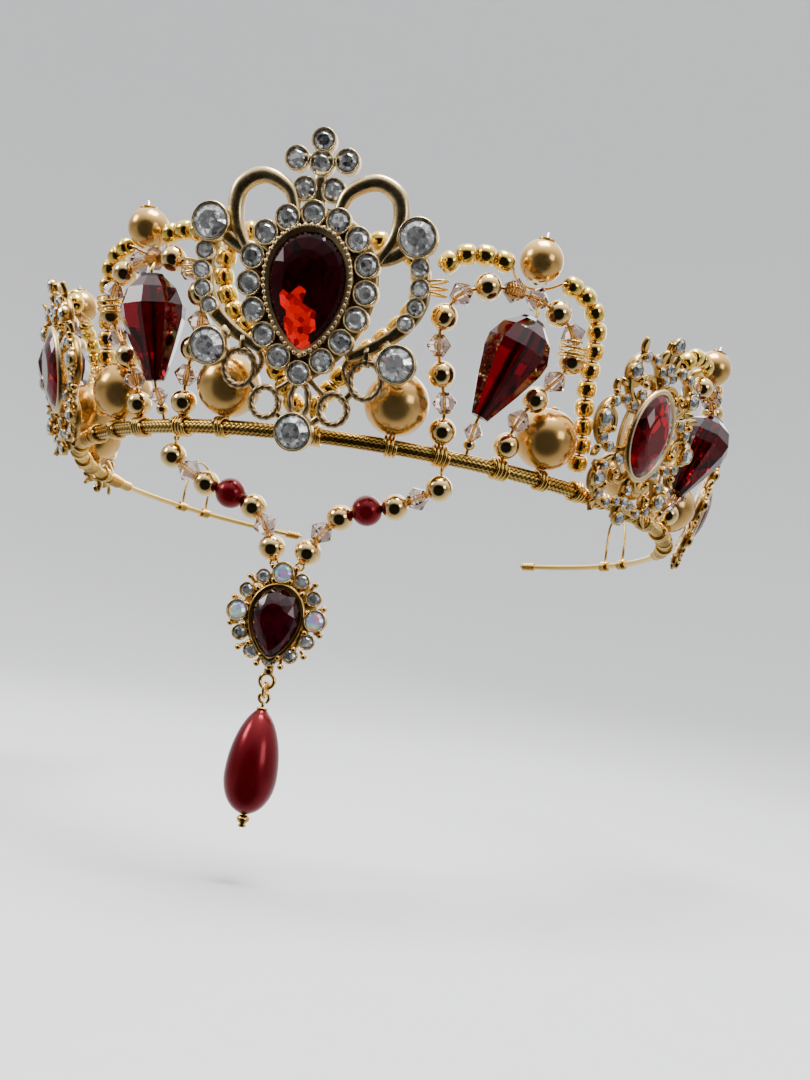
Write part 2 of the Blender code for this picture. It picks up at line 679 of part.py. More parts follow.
def make_seed_arc(place, side, sign, paint):
    """Seed beads that arch over a petal, and the bare wire that passes under the top pearl."""
    angle = PETAL_ANGLES[place]
    out = -1.6 * MM

    def run(points):
        return smooth_path([wall_point(sign * angle, sign * x * MM, y * MM, out) for x, y in points], 6)

    first = run([(-12.8, 32.2), (-11.2, 34.6), (-8.0, 36.1), (-4.0, 36.2), (-1.6, 35.6)])
    second = run([(8.2, 35.6), (11.6, 35.2), (15.2, 33.0), (17.2, 29.0),
                  (18.0, 23.6), (19.2, 17.0), (21.4, 10.0), (22.4, 3.6)])
    bridge = [wall_point(sign * angle, sign * x * MM, y * MM, z * MM)
              for x, y, z in ((0.2, 34.2, -3.6), (3.3, 33.4, -4.6), (6.4, 34.2, -3.6))]
    points, radii = [], []
    for path in (first, second):
        total, _ = path_sampler(path)
        beads, sizes = bead_string(path, "S" * round(total / SEED_BEAD_PITCH))
        points += beads
        radii += sizes
        if path is first:
            points += bridge
            radii += [WIRE_RADIUS] * len(bridge)
    add_around(f"seed_arc_{place}_{side}", points, radii, 5, paint["seed_gold"], band_point(sign * angle))


def make_seed_heart(paint):
    """Heart-shaped seed bead loop behind the centre medallion, with its foot on the band."""
    half = [(1.2, 3.8), (4.4, 9.0), (9.0, 15.4), (13.8, 20.6), (16.4, 26.4), (15.4, 32.0), (11.2, 35.0),
            (6.0, 33.2), (0.0, 29.0)]
    outline = [(-x, y) for x, y in half] + half[-2::-1]
    path = smooth_path([wall_point(0.0, x * MM, y * MM, 0.2 * MM) for x, y in outline], 6)
    total, _ = path_sampler(path)
    points, radii = bead_string(path, "S" * round(total / SEED_BEAD_PITCH))
    add_around("seed_heart", points, radii, 5, paint["seed_gold"], band_point(0.0))


# ---------------------------------------------------------------- swag and pendant

def make_swag(side, sign, axis, paint):
    """Strand from the band to the pendant; it swings about the axis through both ends of the swag."""
    depth = band_point(SWAG_ANGLE)[1]
    outline = [(25.3, -2.8), (25.5, -5.6), (21.3, -8.4), (17.0, -10.6), (12.6, -11.6)]
    outline += [(8.5, -13.2), (5.3, -16.6), (3.3, -20.6), (2.4, -22.9)]
    path = smooth_path([(sign * x * MM, depth, z * MM) for x, z in outline], 6)
    points, radii = bead_string(path, "GBGRGBG", start=0.3 * MM)
    add_around(f"swag_strand_{side}", points, radii, 6, paint["gold_bead"], np.array(axis.location), axis)


def make_cluster(axis, paint):
    """Pendant cluster: its local X, Y and Z point along +X, +Z and -Y."""
    facing = Matrix.Rotation(math.pi / 2, 4, "X")
    top = axis.matrix_world.translation.z
    shift = Matrix.Translation((0.0, 0.0, CLUSTER_CENTRE_Z - top))
    place = shift @ facing
    outlines = [pear(6.9, 8.6, 0.3, 16)]
    ring_count = 12
    for k in range(ring_count):
        turn = 2 * math.pi * k / ring_count
        outlines.append(circle((7.2 * math.sin(turn), 0.6 + 7.7 * math.cos(turn)), 1.75, 6))
    outlines += hoop((0.0, RING_AXIS_Z / MM + 0.25 - CLUSTER_CENTRE_Z / MM), 1.3, 1.0, 0.6)
    outlines += ribbon([(0.0, -9.8), (0.0, -8.0)], 1.6, steps=1)
    outlines = [[(x * MM, y * MM) for x, y in outline] for outline in outlines]
    add_object("pendant_cluster_frame", casting(outlines, -0.6 * MM, 0.6 * MM), paint["cast_gold"], place, axis)
    stone = pear(4.5 * MM, 6.4 * MM, -0.6 * MM, 12)
    base = 0.6 * MM + GAP
    shape = faceted(stone, [(0.96, base), (1.0, base + 1.2 * MM), (0.5, base + 3.0 * MM)])
    add_object("pendant_cluster_stone", shape, paint["red_stone"], place, axis, smooth_angle=10.0)


def wire_circle(radius, wire, first, last, count, plane):
    points = []
    for turn in np.linspace(first, last, count):
        t = math.radians(turn)
        across = radius * math.sin(t)
        height = radius * math.cos(t)
        points.append((0.0, across, height) if plane == "YZ" else (across, 0.0, height))
    return points, [wire] * count


def make_pendant_drop(ring_axis, drop_axis, paint):
    points, radii = wire_circle(RING_RADIUS, RING_WIRE_RADIUS, 8.0, 352.0, 13, "YZ")
    ring = add_object("jump_ring", sweep(points, radii, 6), paint["gold_wire"], parent=ring_axis)
    ring.location = (0.0, 0.0, -RING_RADIUS)
    loop, radii = wire_circle(PIN_LOOP_RADIUS, RING_WIRE_RADIUS, 520.0, 180.0, 12, "XZ")
    shift = PIN_LOOP_Z - DROP_AXIS_Z
    loop = [(x, y, z + shift) for x, y, z in loop[1:]]
    radii = radii[1:]
    tip = DROP_PEARL_TOP_Z - DROP_PEARL_LENGTH - DROP_AXIS_Z
    shank = [(shift - PIN_LOOP_RADIUS - 0.5 * MM, RING_WIRE_RADIUS), (tip - 0.1 * MM, RING_WIRE_RADIUS)]
    ball = [(tip - 0.5 * MM, 0.9 * MM), (tip - 1.5 * MM, 1.1 * MM), (tip - 2.3 * MM, 0.4 * MM)]
    for height, radius in shank + ball:
        loop.append((0.0, 0.0, height))
        radii.append(radius)
    add_object("eye_pin", sweep(loop, radii, 6), paint["gold_wire"], parent=drop_axis)
    length, radius, bore = DROP_PEARL_LENGTH, DROP_PEARL_RADIUS, DROP_PEARL_BORE
    low = DROP_PEARL_TOP_Z - length - DROP_AXIS_Z
    profile = [(bore, low), (0.45 * radius, low + 0.1 * MM), (0.86 * radius, low + 0.13 * length)]
    profile += [(radius, low + 0.3 * length), (0.86 * radius, low + 0.52 * length)]
    profile += [(0.55 * radius, low + 0.8 * length), (0.28 * radius, low + length), (bore, low + length)]
    add_object("drop_pearl", turned(profile, 10, bored=True), paint["red_pearl"], parent=drop_axis)


def main():
    clear_scene()
    paint = {
        "gold_wire": principled("gold_wire", (0.83, 0.62, 0.24), 1.0, 0.28),
        "gold_braid": principled("gold_braid", (0.72, 0.52, 0.19), 1.0, 0.35),
        "cast_gold": principled("cast_gold", (0.86, 0.70, 0.40), 1.0, 0.22),
        "gold_bead": principled("gold_bead", (0.85, 0.64, 0.30), 1.0, 0.12),
        "seed_gold": principled("seed_gold", (0.88, 0.70, 0.16), 1.0, 0.20),
        "clear_stone": principled("clear_stone", (0.80, 0.82, 0.85), 0.0, 0.05),
        "red_stone": principled("red_stone", (0.30, 0.01, 0.02), 0.0, 0.06),
        "pearl": principled("pearl", (0.72, 0.52, 0.28), 0.3, 0.30),
        "red_pearl": principled("red_pearl", (0.32, 0.02, 0.04), 0.3, 0.25),
    }
    make_band(paint)
    make_centre_medallion(paint)
    make_seed_heart(paint)
    for side, sign in SIDES.items():
        make_ribbon_loop(side, sign, paint)
        make_side_medallion(f"side_medallion_{side}", sign * SIDE_ANGLE, SIDE_OUT, 1.0, paint)
        make_side_medallion(f"far_medallion_{side}", sign * FAR_ANGLE, FAR_OUT, FAR_SCALE, paint)
        for place in PETAL_ANGLES:
            make_petal(place, side, sign, paint)
            make_drop(place, side, sign, paint)
            make_seed_arc(place, side, sign, paint)
            make_top_pearl(place, side, sign, paint)
        for number in range(len(LOWER_PEARL_ANGLES)):
            make_lower_pearl(number, side, sign, paint)
    depth = float(band_point(SWAG_ANGLE)[1])
    swag_axis = add_axis("swag_axis", (0.0, depth, 0.0))
    for side, sign in SIDES.items():
        make_swag(side, sign, swag_axis, paint)
    cluster_axis = add_axis("cluster_axis", (0.0, depth, CLUSTER_AXIS_Z), swag_axis)
    make_cluster(cluster_axis, paint)
    ring_axis = add_axis("ring_axis", (0.0, depth, RING_AXIS_Z), cluster_axis)
    drop_axis = add_axis("drop_axis", (0.0, depth, DROP_AXIS_Z), ring_axis)
    make_pendant_drop(ring_axis, drop_axis, paint)


main()
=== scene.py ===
"""Finished look of a beaded circlet crown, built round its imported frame.

Lengths are in metres. The crown's wall leans outwards from the head band, so most pieces are set out in wall
coordinates: along the band, up the wall and out from the wall, at an angle measured from the front centre.
"""
import logging
import math
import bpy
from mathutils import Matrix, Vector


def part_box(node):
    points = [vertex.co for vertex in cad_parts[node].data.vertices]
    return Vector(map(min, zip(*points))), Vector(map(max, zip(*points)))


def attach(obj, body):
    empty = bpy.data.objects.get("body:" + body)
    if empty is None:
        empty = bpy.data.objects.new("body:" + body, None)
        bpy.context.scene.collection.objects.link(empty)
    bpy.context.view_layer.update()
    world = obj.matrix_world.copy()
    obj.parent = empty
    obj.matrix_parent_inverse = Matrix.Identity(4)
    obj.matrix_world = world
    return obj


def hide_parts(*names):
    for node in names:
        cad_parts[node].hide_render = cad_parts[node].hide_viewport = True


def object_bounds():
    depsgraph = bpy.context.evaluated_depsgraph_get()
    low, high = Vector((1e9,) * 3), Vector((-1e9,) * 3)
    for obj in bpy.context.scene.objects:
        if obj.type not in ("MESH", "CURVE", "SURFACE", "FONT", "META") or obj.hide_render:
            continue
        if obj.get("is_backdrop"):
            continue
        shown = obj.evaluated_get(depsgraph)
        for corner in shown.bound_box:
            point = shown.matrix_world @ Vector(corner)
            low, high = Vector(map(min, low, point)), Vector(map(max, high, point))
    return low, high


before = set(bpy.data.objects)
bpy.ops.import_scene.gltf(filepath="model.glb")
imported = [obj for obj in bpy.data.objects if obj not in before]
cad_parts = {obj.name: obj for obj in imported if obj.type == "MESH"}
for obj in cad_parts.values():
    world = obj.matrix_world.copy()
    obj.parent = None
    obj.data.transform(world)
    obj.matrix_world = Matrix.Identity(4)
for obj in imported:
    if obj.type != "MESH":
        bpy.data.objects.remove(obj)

import zlib
from dataclasses import dataclass, field
from enum import Enum

import bmesh
import bpy
import numpy as np
from mathutils import Matrix, Vector

MM = 0.001
LOG = logging.getLogger("crown")
SIDES = {"right": 1, "left": -1}
BODY_CROWN, BODY_SWAG, BODY_CLUSTER, BODY_RING, BODY_DROP = "crown", "swag", "pendant_cluster", "ring", "pendant_drop"


class Cap(Enum):
    """How the first or last ring of a lofted surface is closed."""

    OPEN = "open"
    FLAT = "flat"
    POINT = "point"


class Bead(Enum):
    """Kinds of bead on the wired strings."""

    GOLD = "G"
    BICONE = "B"
    RED = "R"
    SEED = "S"


# ---------------------------------------------------------------- shapes

@dataclass
class Shape:
    """Points, faces and a 0 to 1 relief value per point (1 on high places, 0 in troughs); on metal, low relief becomes
    painted shade.
    """

    points: np.ndarray
    faces: list[np.ndarray]
    relief: np.ndarray

    def moved(self, matrix: np.ndarray) -> "Shape":
        """The same shape carried by a 4 x 4 matrix."""
        return Shape(self.points @ matrix[:3, :3].T + matrix[:3, 3], self.faces, self.relief)

    def lit(self, value: float) -> "Shape":
        """The same shape with one relief value all over, which fixes the share of painted shade on metal."""
        return Shape(self.points, self.faces, np.full(len(self.points), value))


def joined(shapes: list[Shape]) -> Shape:
    """One shape that holds all of them.

    Args:
        shapes: The shapes to put together.

    Returns:
        A shape whose point numbers run on from one to the next.
    """
    starts = np.cumsum([0] + [len(s.points) for s in shapes[:-1]])
    faces = [f + start for s, start in zip(shapes, starts) for f in s.faces]
    return Shape(np.vstack([s.points for s in shapes]), faces, np.concatenate([s.relief for s in shapes]))


def copies(shape: Shape, origins: np.ndarray, x: np.ndarray, y: np.ndarray, z: np.ndarray) -> Shape:
    """The shape repeated at each origin, with its local axes laid along x, y and z.

    Args:
        shape: The shape to repeat.
        origins: One row per copy.
        x: Local X of each copy.
        y: Local Y of each copy.
        z: Local Z of each copy.

    Returns:
        All the copies in one shape: point = origin + px x + py y + pz z.
    """
    axes = np.stack([x, y, z], axis=1)
    points = np.einsum("pk,mkc->mpc", shape.points, axes) + origins[:, None, :]
    steps = np.arange(len(origins)) * len(shape.points)
    faces = [(f[None] + steps[:, None, None]).reshape(-1, f.shape[1]) for f in shape.faces]
    return Shape(points.reshape(-1, 3), faces, np.tile(shape.relief, len(origins)))


def scattered(shape: Shape, spots: list[tuple[float, float, float]], sizes: list[float], height: float) -> Shape:
    """Copies of a unit shape on a flat plate.

    Args:
        shape: The shape, of radius 1 about its local Z.
        spots: X and Y of each copy and an added height.
        sizes: Radius of each copy.
        height: Height of the plate's face.

    Returns:
        The copies, upright on the plate and each turned by its own golden angle.
    """
    centres = np.array(spots, float)
    centres[:, 2] += height
    size = np.array(sizes, float)[:, None]
    turn = 2.39996 * np.arange(len(centres))
    cos, sin, none = np.cos(turn), np.sin(turn), np.zeros(len(centres))
    x = np.stack([cos, sin, none], axis=1) * size
    y = np.stack([-sin, cos, none], axis=1) * size
    z = np.stack([none, none, none + 1.0], axis=1) * size
    return copies(shape, centres, x, y, z)


def loft(rings: np.ndarray, start: Cap = Cap.FLAT, end: Cap = Cap.FLAT, ends: tuple | None = None,
         wrap: bool = False, relief: np.ndarray | None = None) -> Shape:
    """Skin over a stack of equal rings.

    Args:
        rings: Points as (ring, place in the ring, 3).
        start: How the first ring closes.
        end: How the last ring closes.
        ends: The two points used by Cap.POINT.
        wrap: Joins the last ring to the first.
        relief: Relief value per ring point, which on metal sets the painted shade.

    Returns:
        Quads between the rings, and the two ends.
    """
    count, sides = rings.shape[:2]
    index = np.arange(count * sides).reshape(count, sides)
    beside = np.roll(index, -1, axis=1)
    rows = slice(None) if wrap else slice(None, -1)
    above, above_beside = np.roll(index, -1, axis=0)[rows], np.roll(beside, -1, axis=0)[rows]
    faces = [np.stack([index[rows], beside[rows], above_beside, above], axis=-1).reshape(-1, 4)]
    points = [rings.reshape(-1, 3)]
    level = [np.ones(count * sides) if relief is None else np.asarray(relief, float).ravel()]
    total = count * sides
    if not wrap:
        for cap, ring, after, spot in ((start, index[0], beside[0], 0), (end, index[-1], beside[-1], 1)):
            if cap is Cap.FLAT:
                faces.append(ring[None, :] if spot else ring[None, ::-1])
            if cap is Cap.POINT:
                points.append(np.array([ends[spot]], float))
                level.append(np.ones(1))
                pair = (ring, after) if spot else (after, ring)
                faces.append(np.stack([*pair, np.full(sides, total)], axis=-1))
                total += 1
    return Shape(np.vstack(points), faces, np.concatenate(level))


def turned(profile: list[tuple[float, float]], sides: int, wrap: bool = False, twist: float = 0.0) -> Shape:
    """Surface turned about local Z: a profile point (r, h) goes to (r cos t, r sin t, h).

    Args:
        profile: Radius and height of each ring; a radius of 0 at an end makes a pole.
        sides: Places round each ring.
        wrap: Joins the last ring to the first, for a bored bead or a cup.
        twist: Turn added per ring, in places, which staggers the facets of a cut bead.

    Returns:
        The turned surface.
    """
    line = np.array(profile, float)
    t = 2 * np.pi * (np.arange(sides)[None, :] + twist * np.arange(len(line))[:, None]) / sides
    rings = np.stack([line[:, :1] * np.cos(t), line[:, :1] * np.sin(t), line[:, 1:] + 0 * t], axis=-1)
    if wrap:
        return loft(rings, wrap=True)
    first, last = line[0, 0] == 0.0, line[-1, 0] == 0.0
    body = rings[1 if first else 0:len(line) - 1 if last else len(line)]
    tips = ((0, 0, line[0, 1]), (0, 0, line[-1, 1]))
    return loft(body, Cap.POINT if first else Cap.FLAT, Cap.POINT if last else Cap.FLAT, tips)


def spline(points: list | np.ndarray, steps: int = 10, closed: bool = False) -> np.ndarray:
    """Catmull-Rom curve through the points, as whole arrays.

    Args:
        points: Rows of coordinates.
        steps: Places per span.
        closed: Joins the last point to the first.

    Returns:
        The curve's points, with the last one only when it is open.
    """
    p = np.array(points, float)
    ring = np.vstack([p[-1], p, p[:2]]) if closed else np.vstack([2 * p[0] - p[1], p, 2 * p[-1] - p[-2]])
    t = (np.arange(steps) / steps)[None, :, None]
    a, b, c, d = (ring[k:len(ring) - 3 + k, None, :] for k in range(4))
    curve = 0.5 * (2 * b + (c - a) * t + (2 * a - 5 * b + 4 * c - d) * t ** 2 + (3 * b - a - 3 * c + d) * t ** 3)
    curve = curve.reshape(-1, p.shape[1])
    return curve if closed else np.vstack([curve, p[-1]])


def along(path: np.ndarray, distances: np.ndarray) -> tuple[np.ndarray, np.ndarray]:
    """Positions and directions at distances along a path."""
    steps = np.linalg.norm(np.diff(path, axis=0), axis=1)
    reach = np.concatenate([[0.0], np.cumsum(steps)])
    slope = np.gradient(path, axis=0)
    place = np.stack([np.interp(distances, reach, path[:, k]) for k in range(path.shape[1])], axis=1)
    way = np.stack([np.interp(distances, reach, slope[:, k]) for k in range(path.shape[1])], axis=1)
    return place, way / np.linalg.norm(way, axis=1)[:, None]


def length_of(path: np.ndarray) -> float:
    """Length of a path."""
    return float(np.linalg.norm(np.diff(path, axis=0), axis=1).sum())


def evenly(path: np.ndarray, pitch: float) -> np.ndarray:
    """The path with its points a steady pitch apart."""
    total = length_of(path)
    return along(path, np.linspace(0.0, total, max(2, round(total / pitch) + 1)))[0]


def unit(rows: np.ndarray) -> np.ndarray:
    """Rows scaled to length 1."""
    return rows / np.maximum(np.linalg.norm(rows, axis=-1, keepdims=True), 1e-12)


def section_axes(path: np.ndarray, reference: np.ndarray, closed: bool = False) -> tuple[np.ndarray, np.ndarray]:
    """Two axes across a path.

    Args:
        path: The path's points.
        reference: One direction, or one per point, that is never along the path.
        closed: Takes the path as a closed loop.

    Returns:
        The axis across both path and reference, and the reference's own part across the path.
    """
    step = np.roll(path, -1, axis=0) - np.roll(path, 1, axis=0) if closed else np.gradient(path, axis=0)
    way = unit(step)
    side = unit(np.cross(way, np.broadcast_to(reference, path.shape)))
    return side, np.cross(side, way)


def tube(path: np.ndarray, radius: float | np.ndarray, reference: np.ndarray, sides: int = 8,
         closed: bool = False, rope: tuple[int, float, float] | None = None) -> Shape:
    """Round wire along a path: point = path + r (cos t lift + sin t side).

    Args:
        path: The path's points.
        radius: Radius, or one per point.
        reference: Direction for section_axes.
        sides: Places round the section.
        closed: Joins the ends.
        rope: Strand count, turns along the path and depth, which scale r by 1 - depth (1 - |cos(strands t + turns)|).

    Returns:
        The wire, with relief low between a rope's strands, where the metal takes painted shade.
    """
    side, lift = section_axes(path, reference, closed)
    t = 2 * np.pi * np.arange(sides)[None, :] / sides
    r = np.broadcast_to(np.asarray(radius, float).reshape(-1, 1), (len(path), sides))
    relief = np.ones_like(r)
    if rope:
        strands, turns, depth = rope
        s = 2 * np.pi * turns * np.arange(len(path))[:, None] / len(path)
        # Painted shade between the strands: the relief is low there.
        relief = np.abs(np.cos(0.5 * (strands * t + s)))
        r = r * (1 - depth * (1 - relief))
    rings = path[:, None] + r[..., None] * (np.cos(t)[..., None] * lift[:, None] + np.sin(t)[..., None] * side[:, None])
    return loft(rings, wrap=closed, relief=relief)


def strip(path: np.ndarray, width: float | np.ndarray, top: float, bottom: float, sides: int = 14,
          groove: float = 0.0) -> Shape:
    """Flat-backed, domed strip along a flat path in the local XY plane.

    Args:
        path: The path's points.
        width: Width, or one per point.
        top: Height of the dome above the path.
        bottom: Depth of the back below it.
        sides: Places round the section.
        groove: Depth of a channel along the dome's middle.

    Returns:
        The strip: across = w/2 cos t, height = top sin t above and bottom sin t, squared off, below.
    """
    side, lift = section_axes(path, np.array([0.0, 0.0, 1.0]))
    t = 2 * np.pi * np.arange(sides) / sides
    across = np.sign(np.cos(t)) * np.abs(np.cos(t)) ** 0.8
    height = np.where(np.sin(t) > 0, top * np.abs(np.sin(t)) ** 0.75, -bottom * np.abs(np.sin(t)) ** 0.4)
    height = height - groove * np.exp(-(across / 0.34) ** 2) * (np.sin(t) > 0.1)
    w = np.broadcast_to(np.asarray(width, float).reshape(-1, 1), (len(path), sides)) / 2
    rings = path[:, None] + (w * across)[..., None] * side[:, None] + height[None, :, None] * lift[:, None]
    # Relief low on the flanks, where the metal takes painted shade.
    relief = np.broadcast_to(np.clip(0.25 + 0.75 * np.abs(np.sin(t)), 0, 1), (len(path), sides))
    return loft(rings, relief=relief)


def plate(outline: np.ndarray, levels: list[tuple[float, float]]) -> Shape:
    """Stack of an outline set in by a distance at each (inset, height), flat at both ends."""
    ahead = unit(np.roll(outline, -1, axis=0) - np.roll(outline, 1, axis=0))
    inwards = np.stack([-ahead[:, 1], ahead[:, 0]], axis=1)
    middle = outline.mean(axis=0)
    inwards *= np.sign(np.sum(inwards * (middle - outline), axis=1))[:, None]
    rings = [np.column_stack([outline + inwards * inset, np.full(len(outline), height)]) for inset, height in levels]
    return loft(np.array(rings))


def helix(centre: np.ndarray, first: np.ndarray, second: np.ndarray, radius: float, turns: float,
          start: float = 0.0) -> np.ndarray:
    """Winding round a moving centre: centre + r (cos f first + sin f second), with f going through the turns."""
    f = (start + 2 * np.pi * turns * np.linspace(0, 1, len(centre)))[:, None]
    return centre + radius * (np.cos(f) * first + np.sin(f) * second)


def pear(half_width: float, half_height: float, middle: float, count: int) -> np.ndarray:
    """Pear outline, point down: x = w sin a sqrt|sin a/2| / 0.861, y = middle - h cos a."""
    a = 2 * np.pi * np.arange(count) / count
    x = half_width / 0.861 * np.sin(a) * np.sqrt(np.abs(np.sin(a / 2)))
    return np.stack([x, middle - half_height * np.cos(a)], axis=1)


def navette(half_width: float, half_height: float, middle: float, count: int) -> np.ndarray:
    """Oval outline with slightly pointed ends: x = w sin a |sin a|^0.2, y = middle + h cos a."""
    a = 2 * np.pi * np.arange(count) / count
    x = half_width * np.sign(np.sin(a)) * np.abs(np.sin(a)) ** 1.2
    return np.stack([x, middle + half_height * np.cos(a)], axis=1)


def flat(points: list[tuple[float, float]], steps: int = 8) -> np.ndarray:
    """Curve through points given in millimetres, laid in the local XY plane."""
    curve = spline(np.array(points, float) * MM, steps)
    return np.column_stack([curve, np.zeros(len(curve))])


def mirror(points: list[tuple[float, float]], sign: int) -> list[tuple[float, float]]:
    """Points with X times the sign."""
    return [(sign * x, y) for x, y in points]


def brilliant(sides: int = 8) -> Shape:
    """Round cut stone of radius 1: an octagonal table, three crown facets per corner and a short back."""
    k = np.arange(sides)
    table_turn, girdle_turn = 2 * np.pi * k / sides, np.pi * (np.arange(2 * sides) + 0.5) / sides
    table = np.stack([0.56 * np.cos(table_turn), 0.56 * np.sin(table_turn), np.full(sides, 0.36)], axis=1)
    girdle = np.stack([np.cos(girdle_turn), np.sin(girdle_turn), np.zeros(2 * sides)], axis=1)
    base = girdle * [0.8, 0.8, 1.0] - [0, 0, 0.25]
    g, nxt = sides, (k + 1) % sides
    before, after = g + (2 * k - 1) % (2 * sides), g + 2 * k
    beyond = g + (2 * k + 1) % (2 * sides)
    faces = [np.stack([before, after, k], axis=1), np.stack([after, beyond, nxt], axis=1),
             np.stack([after, nxt, k], axis=1), k[None, :]]
    ring = g + np.arange(2 * sides)
    low = ring + 2 * sides
    faces.append(np.stack([ring, low, np.roll(low, -1), np.roll(ring, -1)], axis=1))
    faces.append(low[None, :])
    return Shape(np.vstack([table, girdle, base]), faces, np.ones(5 * sides))


def cup(sides: int = 16) -> Shape:
    """Collar that holds a stone of radius 0.86: a turned ring of radius 1 with a rolled lip."""
    profile = [(0.55, -0.05), (0.93, -0.05), (1.0, 0.3), (1.0, 0.72), (0.95, 0.84), (0.87, 0.8), (0.84, 0.62), (0.8, 0.3)]
    shape = turned([(r, h - 0.05) for r, h in profile], sides, wrap=True)
    # Relief per ring: low inside the lip and at the foot, where the metal takes painted shade.
    shape.relief = np.tile(np.array([0.2, 0.3, 0.6, 0.9, 1.0, 0.9, 0.2, 0.0])[:, None], (1, sides)).ravel()
    return shape


def ball(sides: int = 10, rings: int = 7) -> Shape:
    """Sphere of radius 1: r = sin a, h = -cos a."""
    a = np.linspace(0, np.pi, rings)
    r = np.sin(a)
    r[[0, -1]] = 0.0
    return turned(list(zip(r, -np.cos(a))), sides)


def cut_stone(outline: np.ndarray, levels: list[tuple[float, float]]) -> Shape:
    """Faceted stone over an outline.

    Args:
        outline: The girdle, counted round.
        levels: Scale about the middle, and height, of each ring from the back to the table.

    Returns:
        Rings that are staggered by half a place, so that their facets are triangles.
    """
    middle = outline.mean(axis=0)
    half = 0.5 * (outline + np.roll(outline, -1, axis=0))
    rings = []
    for number, (scale, height) in enumerate(levels):
        ring = half if number % 2 else outline
        rings.append(np.column_stack([middle + (ring - middle) * scale, np.full(len(ring), height)]))
    points = np.vstack(rings)
    count = len(outline)
    index = np.arange(len(levels) * count).reshape(len(levels), count)
    faces = [index[0][None, :], index[-1][None, :]]
    for number in range(len(levels) - 1):
        low, high = index[number], index[number + 1]
        if number % 2:
            low, high = high, low
        nxt = np.roll(low, -1)
        faces += [np.stack([low, nxt, high], axis=1), np.stack([nxt, np.roll(high, -1), high], axis=1)]
    return Shape(points, faces, np.ones(len(points)))


# ---------------------------------------------------------------- finishes

class Nodes:
    """A node tree with short calls to add nodes and links."""

    def __init__(self, tree: bpy.types.NodeTree) -> None:
        """Keep the tree, and clear it."""
        self.tree = tree
        tree.nodes.clear()

    def add(self, kind: str, settings: dict | None = None, **values: object) -> bpy.types.Node:
        """Add a node.

        Args:
            kind: The node's type name after "ShaderNode", or "NodeGroupInput" and "NodeGroupOutput".
            settings: Properties of the node.
            values: Input values or sockets by name, with "_" for a space; i0, i1 ... name inputs by place.

        Returns:
            The node.
        """
        node = self.tree.nodes.new(kind if kind.startswith("NodeGroup") else "ShaderNode" + kind)
        for key, value in (settings or {}).items():
            setattr(node, key, value)
        for key, value in values.items():
            socket = node.inputs[int(key[1:])] if key[0] == "i" and key[1:].isdigit() else node.inputs[key.replace("_", " ")]
            if isinstance(value, bpy.types.NodeSocket):
                self.tree.links.new(value, socket)
            else:
                socket.default_value = value
        return node

    def ramp(self, source: bpy.types.NodeSocket, stops: list[tuple[float, tuple]]) -> bpy.types.NodeSocket:
        """Colour ramp through (place, colour) stops, fed by the source."""
        node = self.add("ValToRGB", None, Fac=source)
        band = node.color_ramp
        while len(band.elements) < len(stops):
            band.elements.new(0.5)
        for element, (place, colour) in zip(band.elements, stops):
            element.position = place
            element.color = (*colour[:3], 1.0)
        return node.outputs["Color"]

    def mix(self, factor: object, first: object, second: object, blend: str = "MIX") -> bpy.types.NodeSocket:
        """Colour mix of two colours by a factor."""
        node = self.add("Mix", {"data_type": "RGBA", "blend_type": blend, "clamp_factor": True}, i0=factor, i6=first, i7=second)
        return node.outputs[2]

    def math(self, kind: str, *values: object) -> bpy.types.NodeSocket:
        """Math node on one to three values or sockets."""
        named = {f"i{number}": value for number, value in enumerate(values)}
        return self.add("Math", {"operation": kind}, **named).outputs[0]


def new_group(name: str, inputs: list[tuple[str, str, object]], outputs: list[tuple[str, str]]) -> tuple[Nodes, dict, object]:
    """Start a shader node group.

    Args:
        name: The group's name.
        inputs: Name, socket type and default of each input.
        outputs: Name and socket type of each output.

    Returns:
        The group's nodes, its input sockets by name and its output node.
    """
    tree = bpy.data.node_groups.new(name, "ShaderNodeTree")
    for label, kind, value in inputs:
        socket = tree.interface.new_socket(label, in_out="INPUT", socket_type=kind)
        if value is not None:
            socket.default_value = value
    for label, kind in outputs:
        tree.interface.new_socket(label, in_out="OUTPUT", socket_type=kind)
    nodes = Nodes(tree)
    entry = nodes.add("NodeGroupInput")
    return nodes, {socket.name: socket for socket in entry.outputs if socket.name}, nodes.add("NodeGroupOutput")


